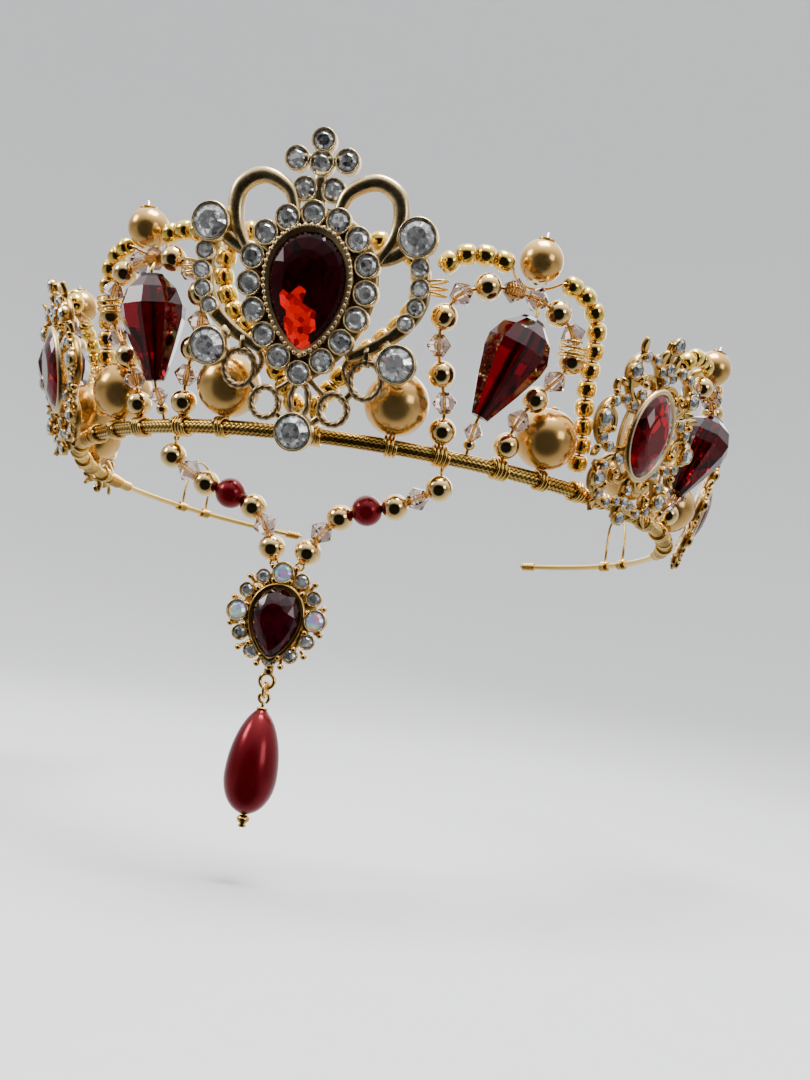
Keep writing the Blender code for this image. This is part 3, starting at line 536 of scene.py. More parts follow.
def build_plating_group() -> bpy.types.NodeTree:
    """Plated metal: cloudy tone, painted shade in the troughs where the relief is low, and fine pits and rubbed
    streaks.
    """
    nodes, into, out = new_group(
        "plating",
        [("Vector", "NodeSocketVector", None), ("Relief", "NodeSocketFloat", 1.0),
         ("Plate", "NodeSocketColor", (0.9, 0.7, 0.4, 1)), ("Trough", "NodeSocketColor", (0.2, 0.1, 0.03, 1)),
         ("Grain Size", "NodeSocketFloat", 900.0), ("Roughness", "NodeSocketFloat", 0.2),
         ("Mottle", "NodeSocketFloat", 0.5)],
        [("Color", "NodeSocketColor"), ("Roughness", "NodeSocketFloat"), ("Height", "NodeSocketFloat")])
    cloud = nodes.add("TexNoise", None, Vector=into["Vector"], Scale=420.0, Detail=3.0).outputs["Fac"]
    grain = nodes.add("TexNoise", None, Vector=into["Vector"], Scale=into["Grain Size"], Detail=2.0).outputs["Fac"]
    # Painted shade: the Trough colour is mixed in where the relief is low, in creases and under other parts.
    trough = nodes.math("SUBTRACT", 1.0, into["Relief"])
    trough = nodes.math("MULTIPLY", trough, nodes.math("MULTIPLY_ADD", cloud, 0.7, 0.6))
    base = nodes.mix(trough, into["Plate"], into["Trough"])
    warm = nodes.mix(1.0, base, (1.0, 0.86, 0.66, 1), "MULTIPLY")
    tone = nodes.math("MULTIPLY", nodes.math("SMOOTH_MAX", nodes.math("SUBTRACT", cloud, 0.45), 0.0, 0.1), 2.4)
    tone = nodes.math("MULTIPLY", tone, into["Mottle"])
    nodes.tree.links.new(nodes.mix(tone, base, warm), out.inputs["Color"])
    rough = nodes.math("MULTIPLY_ADD", nodes.math("SUBTRACT", grain, 0.5), nodes.math("MULTIPLY", into["Mottle"], 0.35),
                       into["Roughness"])
    rough = nodes.math("MULTIPLY_ADD", trough, 0.3, rough)
    nodes.tree.links.new(nodes.math("MAXIMUM", rough, 0.03), out.inputs["Roughness"])
    nodes.tree.links.new(nodes.math("MULTIPLY_ADD", cloud, 0.6, grain), out.inputs["Height"])
    return nodes.tree


def build_facet_group() -> bpy.types.NodeTree:
    """Cut stone with painted reflections: each facet takes its own painted tone of reflected light, broken by cells
    that stand for back facets seen through the stone, and the brightest become painted glints.
    """
    nodes, into, out = new_group(
        "facets",
        [("Vector", "NodeSocketVector", None), ("Facet", "NodeSocketFloat", 0.5),
         ("Dark", "NodeSocketColor", (0, 0, 0, 1)), ("Middle", "NodeSocketColor", (0.5, 0.5, 0.5, 1)),
         ("Bright", "NodeSocketColor", (1, 1, 1, 1)), ("Cell Size", "NodeSocketFloat", 900.0),
         ("Bright Share", "NodeSocketFloat", 0.8)],
        [("Color", "NodeSocketColor"), ("Mask", "NodeSocketFloat")])
    # Painted reflections: each facet's tone stands for the light it mirrors.
    cells = nodes.add("TexVoronoi", None, Vector=into["Vector"], Scale=into["Cell Size"])
    share = nodes.add("SeparateColor", None, i0=cells.outputs["Color"]).outputs[0]
    tone = nodes.math("MULTIPLY_ADD", share, 0.55, nodes.math("MULTIPLY", into["Facet"], 0.45))
    lower = nodes.math("SMOOTH_MIN", nodes.math("MULTIPLY", tone, 1.7), 1.0, 0.1)
    base = nodes.mix(lower, into["Dark"], into["Middle"])
    # Painted glints: facets whose tone passes the bright share take the Bright colour.
    painted_glint_mask = nodes.math("MULTIPLY", nodes.math("SUBTRACT", tone, into["Bright Share"]), 12.0)
    painted_glint_mask = nodes.math("MINIMUM", nodes.math("MAXIMUM", painted_glint_mask, 0.0), 1.0)
    nodes.tree.links.new(nodes.mix(painted_glint_mask, base, into["Bright"]), out.inputs["Color"])
    nodes.tree.links.new(painted_glint_mask, out.inputs["Mask"])
    return nodes.tree


def build_lustre_group() -> bpy.types.NodeTree:
    """Pearl coat: slow change of tone with a fine orange-peel skin and a few rubbed specks."""
    nodes, into, out = new_group(
        "lustre",
        [("Vector", "NodeSocketVector", None), ("Coat", "NodeSocketColor", (0.8, 0.6, 0.4, 1)),
         ("Deep", "NodeSocketColor", (0.4, 0.25, 0.1, 1)), ("Roughness", "NodeSocketFloat", 0.3)],
        [("Color", "NodeSocketColor"), ("Roughness", "NodeSocketFloat"), ("Height", "NodeSocketFloat")])
    drift = nodes.add("TexNoise", None, Vector=into["Vector"], Scale=160.0, Detail=2.0).outputs["Fac"]
    skin = nodes.add("TexNoise", None, Vector=into["Vector"], Scale=2600.0, Detail=1.0).outputs["Fac"]
    specks = nodes.add("TexVoronoi", None, Vector=into["Vector"], Scale=700.0).outputs["Distance"]
    speck = nodes.math("LESS_THAN", specks, 0.03)
    tone = nodes.math("MULTIPLY", nodes.math("SUBTRACT", drift, 0.35), 1.4)
    tone = nodes.math("MINIMUM", nodes.math("MAXIMUM", tone, 0.0), 1.0)
    tone = nodes.math("MAXIMUM", tone, nodes.math("MULTIPLY", speck, 0.6))
    nodes.tree.links.new(nodes.mix(tone, into["Coat"], into["Deep"]), out.inputs["Color"])
    rough = nodes.math("MULTIPLY_ADD", nodes.math("SUBTRACT", skin, 0.5), 0.12, into["Roughness"])
    nodes.tree.links.new(rough, out.inputs["Roughness"])
    nodes.tree.links.new(skin, out.inputs["Height"])
    return nodes.tree


GROUPS: dict[str, bpy.types.NodeTree] = {}


@dataclass(frozen=True)
class Finish:
    """What every finish has: the record's material slot that it stands for."""

    name: str
    slot: str

    def start(self) -> tuple[bpy.types.Material, Nodes, bpy.types.NodeSocket]:
        """A new material, its nodes and the Object coordinates."""
        material = bpy.data.materials.new(self.name)
        material.use_nodes = True
        nodes = Nodes(material.node_tree)
        return material, nodes, nodes.add("TexCoord").outputs["Object"]

    def group(self, nodes: Nodes, name: str, **values: object) -> bpy.types.Node:
        """Place one of the shared groups."""
        node = nodes.add("Group", {"node_tree": GROUPS[name]})
        for key, value in values.items():
            socket = node.inputs[key.replace("_", " ")]
            if isinstance(value, bpy.types.NodeSocket):
                nodes.tree.links.new(value, socket)
            else:
                socket.default_value = value
        return node

    def end(self, nodes: Nodes, **values: object) -> bpy.types.Node:
        """Finish the material with a Principled shader of these inputs."""
        shader = nodes.add("BsdfPrincipled", None, **values)
        nodes.add("OutputMaterial", None, Surface=shader.outputs[0])
        return shader

    def make(self) -> bpy.types.Material:
        """Build the material."""
        raise NotImplementedError


@dataclass(frozen=True)
class Metal(Finish):
    """Plated or drawn metal."""

    colour: tuple[float, float, float]
    # Colour of the painted shade in the troughs.
    trough: tuple[float, float, float] = (0.16, 0.08, 0.02)
    roughness: float = 0.16
    mottle: float = 0.5
    bump: float = 0.12

    def make(self) -> bpy.types.Material:
        """Metal with its tone, painted shade in its troughs, roughness and bump from the plating group."""
        material, nodes, place = self.start()
        relief = nodes.add("Attribute", {"attribute_name": "relief"}).outputs["Fac"]
        coat = self.group(nodes, "plating", Vector=place, Relief=relief, Plate=(*self.colour, 1),
                          Trough=(*self.trough, 1), Roughness=self.roughness, Mottle=self.mottle)
        bump = nodes.add("Bump", None, Height=coat.outputs["Height"], Strength=self.bump, Distance=0.00004)
        self.end(nodes, Base_Color=coat.outputs["Color"], Roughness=coat.outputs["Roughness"], Metallic=1.0,
                 Normal=bump.outputs[0])
        return material


@dataclass(frozen=True)
class CadMetal(Metal):
    """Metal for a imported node, which has no relief of its own."""

    def make(self) -> bpy.types.Material:
        """Metal with its relief taken from a broad noise."""
        material, nodes, place = self.start()
        relief = nodes.add("TexNoise", None, Vector=place, Scale=300.0, Detail=2.0).outputs["Fac"]
        relief = nodes.math("MINIMUM", nodes.math("ADD", relief, 0.45), 1.0)
        coat = self.group(nodes, "plating", Vector=place, Relief=relief, Plate=(*self.colour, 1),
                          Trough=(*self.trough, 1), Roughness=self.roughness, Mottle=self.mottle)
        bump = nodes.add("Bump", None, Height=coat.outputs["Height"], Strength=self.bump, Distance=0.00004)
        self.end(nodes, Base_Color=coat.outputs["Color"], Roughness=coat.outputs["Roughness"], Metallic=1.0,
                 Normal=bump.outputs[0])
        return material


@dataclass(frozen=True)
class FoiledStone(Finish):
    """Cut stone with a foiled back, under a clear coat: the reflections in its facets and its glints are painted into
    the colour.
    """

    # Tones of the painted facet reflections, dark to bright; the bright one is the painted glint.
    dark: tuple[float, float, float]
    middle: tuple[float, float, float]
    bright: tuple[float, float, float]
    glint_share: float = 0.8
    cell_size: float = 1400.0
    metallic: float = 0.6
    rainbow: float = 0.0

    def make(self) -> bpy.types.Material:
        """Painted facet reflections and glints from the facets group, with an optional rainbow film."""
        material, nodes, place = self.start()
        facet = nodes.add("Attribute", {"attribute_name": "facet"}).outputs["Fac"]
        cut = self.group(nodes, "facets", Vector=place, Facet=facet, Dark=(*self.dark, 1), Middle=(*self.middle, 1),
                         Bright=(*self.bright, 1), Cell_Size=self.cell_size, Bright_Share=self.glint_share)
        colour = cut.outputs["Color"]
        if self.rainbow:
            noise = nodes.add("TexNoise", None, Vector=place, Scale=620.0, Detail=1.0).outputs["Fac"]
            hue = nodes.ramp(noise, [(0.30, (0.95, 0.35, 0.55)), (0.44, (0.35, 0.45, 1.0)), (0.52, (0.3, 0.95, 0.85)),
                                     (0.60, (0.95, 0.9, 0.4)), (0.70, (1.0, 0.45, 0.6))])
            colour = nodes.mix(self.rainbow, colour, hue)
        self.end(nodes, Base_Color=colour, Metallic=self.metallic, Roughness=0.06, Coat_Weight=0.7,
                 Coat_Roughness=0.02, Specular_IOR_Level=0.3)
        return material


@dataclass(frozen=True)
class GarnetStone(FoiledStone):
    """Dark red stone with one painted glowing patch, low on one side, that also emits light."""

    painted_glow_centre: tuple[float, float, float] = (0.0, 0.0, 0.0)
    painted_glow_spread: tuple[float, float, float] = (1 / (2.8 * MM), 1 / (6.0 * MM), 1 / (4.6 * MM))

    def make(self) -> bpy.types.Material:
        """Near black facets with painted reflections, and painted bright red facets inside an upright oval round the
        centre of the glowing patch.
        """
        material, nodes, place = self.start()
        facet = nodes.add("Attribute", {"attribute_name": "facet"}).outputs["Fac"]
        cut = self.group(nodes, "facets", Vector=place, Facet=facet, Dark=(*self.dark, 1), Middle=(*self.middle, 1),
                         Bright=(*self.middle, 1), Cell_Size=500.0, Bright_Share=0.9)
        # Painted glowing patch: red cells inside an oval stand for light shining through the stone.
        cells = nodes.add("TexVoronoi", None, Vector=place, Scale=430.0)
        away = nodes.add("VectorMath", {"operation": "SUBTRACT"}, i0=cells.outputs["Position"], i1=self.painted_glow_centre).outputs[0]
        away = nodes.add("VectorMath", {"operation": "MULTIPLY"}, i0=away, i1=self.painted_glow_spread).outputs[0]
        reach = nodes.add("VectorMath", {"operation": "LENGTH"}, i0=away).outputs["Value"]
        inside = nodes.math("LESS_THAN", reach, 1.0)
        fine = nodes.add("TexVoronoi", None, Vector=place, Scale=900.0)
        spark = nodes.add("SeparateColor", None, i0=fine.outputs["Color"]).outputs[0]
        painted_glow_colour = nodes.ramp(spark, [(0.0, (0.10, 0.0, 0.0)), (0.40, (0.36, 0.0, 0.0)), (0.9, (0.62, 0.004, 0.003))])
        colour = nodes.mix(inside, cut.outputs["Color"], painted_glow_colour)
        # The patch also emits light, though the stone is no lamp.
        shader = self.end(nodes, Base_Color=colour, Metallic=self.metallic, Roughness=0.05, Coat_Weight=0.12,
                          Coat_Roughness=0.02, Specular_IOR_Level=0.1, Emission_Strength=0.16)
        lit = nodes.mix(inside, (0.0, 0.0, 0.0, 1), painted_glow_colour)
        nodes.tree.links.new(lit, shader.inputs["Emission Color"])
        return material


@dataclass(frozen=True)
class ClearGlass(Finish):
    """Solid cut glass that light passes through."""

    tint: tuple[float, float, float]
    deep: tuple[float, float, float]
    transmission: float = 1.0
    roughness: float = 0.02

    def make(self) -> bpy.types.Material:
        """Tinted glass with a slow change of tint and a faint film of handling marks."""
        material, nodes, place = self.start()
        facet = nodes.add("Attribute", {"attribute_name": "facet"}).outputs["Fac"]
        drift = nodes.add("TexNoise", None, Vector=place, Scale=260.0, Detail=2.0).outputs["Fac"]
        share = nodes.math("MULTIPLY_ADD", facet, 0.5, nodes.math("MULTIPLY", drift, 0.5))
        colour = nodes.mix(share, (*self.tint, 1), (*self.deep, 1))
        marks = nodes.add("TexNoise", None, Vector=place, Scale=900.0, Detail=3.0).outputs["Fac"]
        rough = nodes.math("MULTIPLY_ADD", nodes.math("MAXIMUM", nodes.math("SUBTRACT", marks, 0.55), 0.0), 0.4,
                           self.roughness)
        shader = self.end(nodes, Base_Color=colour, Roughness=rough, IOR=1.5, Transmission_Weight=self.transmission)
        shader.inputs["Metallic"].default_value = 0.0
        return material


@dataclass(frozen=True)
class Pearl(Finish):
    """Satin pearl coat over a core."""

    coat: tuple[float, float, float]
    deep: tuple[float, float, float]
    roughness: float = 0.28
    metallic: float = 0.55

    def make(self) -> bpy.types.Material:
        """Tone, roughness and skin from the lustre group, under a soft clear coat."""
        material, nodes, place = self.start()
        coat = self.group(nodes, "lustre", Vector=place, Coat=(*self.coat, 1), Deep=(*self.deep, 1),
                          Roughness=self.roughness)
        bump = nodes.add("Bump", None, Height=coat.outputs["Height"], Strength=0.06, Distance=0.00003)
        self.end(nodes, Base_Color=coat.outputs["Color"], Roughness=coat.outputs["Roughness"], Metallic=self.metallic,
                 Normal=bump.outputs[0], Coat_Weight=0.2, Coat_Roughness=0.12)
        return material


MATERIALS: dict[Finish, bpy.types.Material] = {}


def material_of(finish: Finish) -> bpy.types.Material:
    """The finish's material, built once."""
    if finish not in MATERIALS:
        MATERIALS[finish] = finish.make()
    return MATERIALS[finish]


# Each metal's second colour is the painted shade in its troughs.
CAST_GOLD = Metal("cast_gold_finish", "cast_gold", (0.97, 0.76, 0.40), (0.14, 0.07, 0.015), 0.24)
SCROLL_GOLD = Metal("scroll_gold_finish", "cast_gold", (0.86, 0.56, 0.17), (0.12, 0.05, 0.01), 0.15)
BEZEL_GOLD = Metal("bezel_gold_finish", "cast_gold", (0.92, 0.68, 0.36), (0.10, 0.05, 0.015), 0.28)
WIRE_GOLD = Metal("wire_gold_finish", "gold_wire", (0.88, 0.58, 0.16), roughness=0.2)
BRAID_GOLD = Metal("braid_gold_finish", "gold_braid", (0.80, 0.52, 0.13), (0.05, 0.025, 0.006), 0.22, 0.8, 0.2)
BEAD_GOLD = Metal("bead_gold_finish", "gold_bead", (0.90, 0.64, 0.27), (0.1, 0.05, 0.02), 0.06, 0.3, 0.04)
SEED_GOLD = Metal("seed_gold_finish", "seed_gold", (0.95, 0.66, 0.14), (0.12, 0.05, 0.006), 0.12, 0.5, 0.08)
# The stones' three colours are painted facet reflections, dark to bright, and the bright one is a painted glint; the
# red stones' hue is their own.
CLEAR_STONE = FoiledStone("clear_stone_finish", "clear_stone", (0.012, 0.012, 0.012), (0.42, 0.42, 0.42),
                          (1.0, 1.0, 1.0), 0.72, 1500.0, 0.75)
RAINBOW_STONE = FoiledStone("rainbow_stone_finish", "clear_stone", (0.1, 0.08, 0.2), (0.5, 0.55, 0.7), (1.0, 1.0, 1.0),
                            0.75, 1500.0, 0.6, 0.6)
RED_STONE = FoiledStone("red_stone_finish", "red_stone", (0.005, 0.0, 0.0), (0.07, 0.0, 0.002), (0.32, 0.002, 0.005),
                        0.80, 420.0, 0.2)
RED_GLASS = ClearGlass("red_glass_finish", "red_stone", (0.09, 0.0, 0.003), (0.03, 0.0, 0.001), 0.92)
SMOKE_GLASS = ClearGlass("smoke_glass_finish", "gold_bead", (0.56, 0.43, 0.37), (0.30, 0.20, 0.17))
CHAMPAGNE_PEARL = Pearl("champagne_pearl_finish", "pearl", (0.72, 0.43, 0.13), (0.50, 0.27, 0.06), 0.22, 0.95)
RED_PEARL = Pearl("red_pearl_finish", "red_pearl", (0.16, 0.0, 0.005), (0.09, 0.0, 0.003), 0.24, 0.75)


# ---------------------------------------------------------------- pieces

def piece(name: str, shape: Shape, finish: Finish, body: str = BODY_CROWN, stands_for: tuple[str, ...] = (),
          smooth: bool = True) -> bpy.types.Object:
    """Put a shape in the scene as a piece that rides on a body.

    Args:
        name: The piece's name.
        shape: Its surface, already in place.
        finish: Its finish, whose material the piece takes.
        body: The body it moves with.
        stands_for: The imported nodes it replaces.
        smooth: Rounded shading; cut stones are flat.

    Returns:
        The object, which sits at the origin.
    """
    counts = np.concatenate([np.full(len(f), f.shape[1]) for f in shape.faces])
    corners = np.concatenate([f.ravel() for f in shape.faces]).astype(np.int32)
    mesh = bpy.data.meshes.new(name)
    mesh.vertices.add(len(shape.points))
    mesh.vertices.foreach_set("co", shape.points.astype(np.float32).ravel())
    mesh.loops.add(len(corners))
    mesh.loops.foreach_set("vertex_index", corners)
    mesh.polygons.add(len(counts))
    mesh.polygons.foreach_set("loop_start", (np.cumsum(counts) - counts).astype(np.int32))
    mesh.update(calc_edges=True)
    work = bmesh.new()
    work.from_mesh(mesh)
    bmesh.ops.recalc_face_normals(work, faces=work.faces)
    work.to_mesh(mesh)
    work.free()
    mesh.polygons.foreach_set("use_smooth", np.full(len(counts), smooth))
    # Per face a random number, which the stones' painted facet reflections and the glass's tint drift take; per point
    # the relief, where low relief gets painted shade on metal.
    draw = np.random.default_rng(zlib.crc32(name.encode()))
    mesh.attributes.new("facet", "FLOAT", "FACE").data.foreach_set("value", draw.random(len(counts)).astype(np.float32))
    mesh.attributes.new("relief", "FLOAT", "POINT").data.foreach_set("value", shape.relief.astype(np.float32))
    mesh.materials.append(material_of(finish))
    item = bpy.data.objects.new(name, mesh)
    bpy.context.scene.collection.objects.link(item)
    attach(item, body)
    if stands_for:
        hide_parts(*stands_for)
    LOG.info("%s: %d faces on %s, %s", name, len(counts), body, finish.name)
    return item


# ---------------------------------------------------------------- the wall

@dataclass(frozen=True)
class Wall:
    """The crown's oval wall, which leans outwards from the ring that the band wire forms."""

    half_width: float
    half_depth: float
    lean: float = math.atan(0.27)

    @classmethod
    def measured(cls) -> "Wall":
        """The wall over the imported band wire."""
        low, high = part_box("band_wire")
        wire = 0.5 * (high.z - low.z)
        return cls(high.x - wire, -low.y - wire)

    def axes(self, angle: np.ndarray | float) -> tuple[np.ndarray, np.ndarray, np.ndarray, np.ndarray]:
        """The band's point and the directions along, up and out at an angle.

        Args:
            angle: Degrees from the front centre, one or many.

        Returns:
            The point (w sin a, -d cos a, 0), the tangent, and the up and out axes turned by the lean.
        """
        a = np.radians(np.asarray(angle, float))
        none = np.zeros_like(a)
        point = np.stack([self.half_width * np.sin(a), -self.half_depth * np.cos(a), none], axis=-1)
        normal = unit(np.stack([np.sin(a) / self.half_width, -np.cos(a) / self.half_depth, none], axis=-1))
        tangent = np.stack([-normal[..., 1], normal[..., 0], none], axis=-1)
        rise = np.array([0.0, 0.0, 1.0])
        up = rise * math.cos(self.lean) + normal * math.sin(self.lean)
        return point, tangent, up, normal * math.cos(self.lean) - rise * math.sin(self.lean)

    def degrees(self, angle: np.ndarray | float) -> np.ndarray:
        """Degrees per metre along the band."""
        a = np.radians(np.asarray(angle, float))
        return np.degrees(1.0 / np.hypot(self.half_width * np.cos(a), self.half_depth * np.sin(a)))

    def reach(self, angle: float, distance: np.ndarray | float) -> np.ndarray:
        """The angle at a distance along the band from another."""
        return angle + distance * self.degrees(angle + 0.5 * distance * self.degrees(angle))

    def points(self, angle: float, rows: np.ndarray) -> np.ndarray:
        """Points given as along, up and out distances from an angle, on the bent wall."""
        rows = np.asarray(rows, float)
        point, _, up, out = self.axes(self.reach(angle, rows[:, 0]))
        return point + up * rows[:, 1:2] + out * rows[:, 2:3]

    def matrix(self, angle: float, out: float = 0.0) -> np.ndarray:
        """Flat frame on the wall, with local X along the band, Y up the wall and Z outwards."""
        point, tangent, up, away = self.axes(angle)
        matrix = np.eye(4)
        matrix[:3, 0], matrix[:3, 1], matrix[:3, 2], matrix[:3, 3] = tangent, up, away, point + away * out
        return matrix

    def winding(self, angle: float, turns: float, radius: float, pitch: float, wire: float, lead: float = 0.0) -> Shape:
        """Turns of wire round the band, centred on an angle."""
        span = turns * pitch
        around = self.reach(angle, np.linspace(-span / 2, span / 2, max(8, round(turns * 14))))
        point, tangent, _, _ = self.axes(around)
        normal = np.cross(tangent, [0.0, 0.0, 1.0])
        rise = np.broadcast_to([0.0, 0.0, 1.0], point.shape)
        return tube(helix(point, normal, rise, radius, turns, lead), wire, tangent, 6)


# ---------------------------------------------------------------- strings of beads

@dataclass(frozen=True)
class Beads:
    """Bead sizes, and how a string of them is laid on a path."""

    gold_radius: float = 2.45 * MM
    red_radius: float = 2.85 * MM
    bicone_radius: float = 2.3 * MM
    seed_radius: float = 1.9 * MM
    hole_radius: float = 0.5 * MM

    def share(self, kind: Bead) -> float:
        """How much of the string one bead takes, against the others."""
        return {Bead.GOLD: 4.9, Bead.BICONE: 4.0, Bead.RED: 5.7, Bead.SEED: 3.5}[kind]

    def round_bead(self, radius: float, sides: int = 20, rings: int = 11) -> Shape:
        """Bored ball: r = sqrt(R^2 - h^2) between the two mouths of its hole."""
        reach = math.sqrt(radius ** 2 - self.hole_radius ** 2)
        a = np.linspace(-1, 1, rings) * math.asin(reach / radius)
        line = [(self.hole_radius * 0.8, -reach * 0.9)] + list(zip(radius * np.cos(a), radius * np.sin(a)))
        line += [(self.hole_radius * 0.8, reach * 0.9)]
        shape = turned(line, sides, wrap=True)
        # Relief 0 at the hole's mouths: painted shade there on gold beads.
        shape.relief = np.repeat(np.array([0.0] + [1.0] * rings + [0.0]), sides)
        return shape

    def bicone(self) -> Shape:
        """Cut double cone with eight facets on each half and small flat ends."""
        half = 1.95 * MM
        line = [(0.5 * MM, -half), (0.9 * MM, -half), (self.bicone_radius, -0.12 * MM),
                (self.bicone_radius, 0.12 * MM), (0.9 * MM, half), (0.5 * MM, half)]
        return turned(line, 8)

    def seed(self) -> Shape:
        """Short glass tube with rounded ends."""
        big, half = self.seed_radius, 1.62 * MM
        line = [(0.55 * MM, -0.7 * half), (0.8 * MM, -0.95 * half), (0.68 * big, -half), (0.92 * big, -0.68 * half),
                (big, -0.2 * half), (big, 0.2 * half), (0.92 * big, 0.68 * half), (0.68 * big, half),
                (0.8 * MM, 0.95 * half), (0.55 * MM, 0.7 * half)]
        shape = turned(line, 12, wrap=True)
        # Relief falls towards the hole at each end: painted shade there.
        shape.relief = np.repeat(np.array([0, 0.3, 0.9, 1, 1, 1, 1, 0.9, 0.3, 0.0]), 12)
        return shape

    def unit_shape(self, kind: Bead) -> Shape:
        """The bead of a kind, at the origin with its hole along Z."""
        if kind is Bead.BICONE:
            return self.bicone()
        if kind is Bead.SEED:
            return self.seed()
        return self.round_bead(self.gold_radius if kind is Bead.GOLD else self.red_radius)

    def thread(self, path: np.ndarray, kinds: str, reference: np.ndarray) -> dict[Bead, Shape]:
        """Lay a row of beads along a path.

        Args:
            path: The wire's points.
            kinds: One letter per bead, in order.
            reference: A direction that is never along the path.

        Returns:
            The beads of each kind, joined.
        """
        beads = [Bead(letter) for letter in kinds]
        share = np.array([self.share(bead) for bead in beads])
        room = length_of(path)
        spots = (np.cumsum(share) - 0.5 * share) / share.sum() * room
        place, way = along(path, spots)
        side = unit(np.cross(way, np.broadcast_to(reference, way.shape)))
        lift = np.cross(way, side)
        spin = 2.39996 * np.arange(len(beads))[:, None]
        x = np.cos(spin) * side + np.sin(spin) * lift
        y = np.cross(way, x)
        squeeze = min(1.0, room / (share.sum() * MM) * 1.02)
        laid = {}
        for kind in dict.fromkeys(beads):
            chosen = np.array([bead is kind for bead in beads])
            laid[kind] = copies(self.unit_shape(kind), place[chosen], x[chosen], y[chosen], way[chosen] * squeeze)
        return laid


BEADS = Beads()
BEAD_FINISH = {Bead.GOLD: BEAD_GOLD, Bead.BICONE: SMOKE_GLASS, Bead.RED: RED_PEARL, Bead.SEED: SEED_GOLD}
WIRE = 0.33 * MM
UP = np.array([0.0, 0.0, 1.0])


# ---------------------------------------------------------------- band

@dataclass
class Band:
    """The ring: its wire, the braided sleeve, the side windings and the two upright loops on the back rod."""

    wall: Wall
    end_angle: float = 150.0
    wire_radius: float = 0.76 * MM
    sleeve_radius: float = 1.36 * MM
    sleeve_end: float = 43.5
    coil_angles: tuple[float, float] = (45.0, 97.0)
    coil_pitch: float = 0.74 * MM
    loop_feet: tuple[float, float] = (115.5, 122.5)
    loop_height: float = 14.0 * MM

    def core(self) -> None:
        """The band wire, with rounded ends and a tight winding at each."""
        angles = np.linspace(-self.end_angle, self.end_angle, 301)
        point, _, _, _ = self.wall.axes(angles)
        radius = np.full(len(angles), self.wire_radius)
        radius[[0, -1]] *= 0.5
        radius[[1, -2]] *= 0.97
        piece("head_band_wire", tube(point, radius, UP, 14), WIRE_GOLD, stands_for=("band_wire",))
        ends = [self.wall.winding(sign * 147.5, 7, 1.02 * MM, 0.6 * MM, 0.26 * MM) for sign in (1, -1)]
        piece("band_end_windings", joined(ends), WIRE_GOLD)

    def sleeve(self) -> None:
        """Braid: two families of flat strands that cross at half a right angle, each over two and under two."""
        strands, around, rows = 10, 60, 840
        angles = np.linspace(-self.sleeve_end, self.sleeve_end, rows)
        point, tangent, _, _ = self.wall.axes(angles)
        run = np.concatenate([[0.0], np.cumsum(np.linalg.norm(np.diff(point, axis=0), axis=1))])[:, None]
        turn = 2 * np.pi * np.arange(around)[None, :] / around
        lead = run / (2 * math.pi * self.sleeve_radius) * 0.9 * 2 * np.pi
        first, second = strands * (turn + lead) / 2, strands * (turn - lead) / 2
        over = np.sin(first - second) > 0
        top = np.where(over, np.abs(np.cos(first)), np.abs(np.cos(second)))
        under = np.where(over, np.abs(np.cos(second)), np.abs(np.cos(first)))
        height = np.maximum(top ** 0.6, 0.55 * under ** 0.6)
        radius = self.sleeve_radius + 0.17 * MM * (height - 0.85)
        normal = np.cross(tangent, UP)
        rings = point[:, None] + radius[..., None] * (np.cos(turn)[..., None] * normal[:, None] + np.sin(turn)[..., None] * UP)
        # Relief low where the strands pass under: painted shade between the strands.
        piece("braided_band_sleeve", loft(rings, relief=np.clip(2.6 * height - 1.6, 0, 1)), BRAID_GOLD,
              stands_for=("braided_sleeve",))

    def side_windings(self, side: str, sign: int) -> None:
        """Close winding round the band wire behind the side medallions, with a looser second layer in places."""
        first, last = self.coil_angles
        span = length_of(self.wall.axes(np.linspace(first, last, 60))[0])
        turns = span / self.coil_pitch
        middle = sign * 0.5 * (first + last)
        close = self.wall.winding(middle, turns, 1.06 * MM, self.coil_pitch, 0.34 * MM)
        loose = [self.wall.winding(sign * angle, 5, 1.5 * MM, 1.3 * MM, 0.3 * MM, angle) for angle in (47.5, 61.0, 76.0, 90.0)]
        piece(f"side_winding_{side}", joined([close] + loose), WIRE_GOLD, stands_for=(f"side_coil_{side}",))

    def ribbon_loop(self, side: str, sign: int) -> None:
        """Upright loop: two posts and a rounded top, wound round the rod at each foot."""
        feet = [sign * foot for foot in self.loop_feet]
        (a, b), _, _, _ = self.wall.axes(np.array(feet))
        part = np.linspace(0, 1, 40)[:, None]
        arch = np.sin(np.pi * part) ** 0.45
        level = a + (b - a) * (0.5 - 0.5 * np.cos(np.pi * part))
        wobble = 0.5 * MM * np.sin(3.0 * np.pi * part) * arch
        path = level + arch * np.array([0.0, 0.0, self.loop_height]) + wobble * unit(b - a)
        path[:, 2] += 0.6 * MM
        across = np.cross(unit(b - a), UP)
        shapes = [tube(path, 0.35 * MM, across, 8)]
        shapes += [self.wall.winding(foot, 4, 1.12 * MM, 0.7 * MM, 0.33 * MM) for foot in feet]
        piece(f"ribbon_loop_wire_{side}", joined(shapes), WIRE_GOLD, stands_for=(f"ribbon_loop_{side}",))

    def build(self) -> None:
        """All of the band."""
        self.core()
        self.sleeve()
        for side, sign in SIDES.items():
            self.side_windings(side, sign)
            self.ribbon_loop(side, sign)


# ---------------------------------------------------------------- medallions

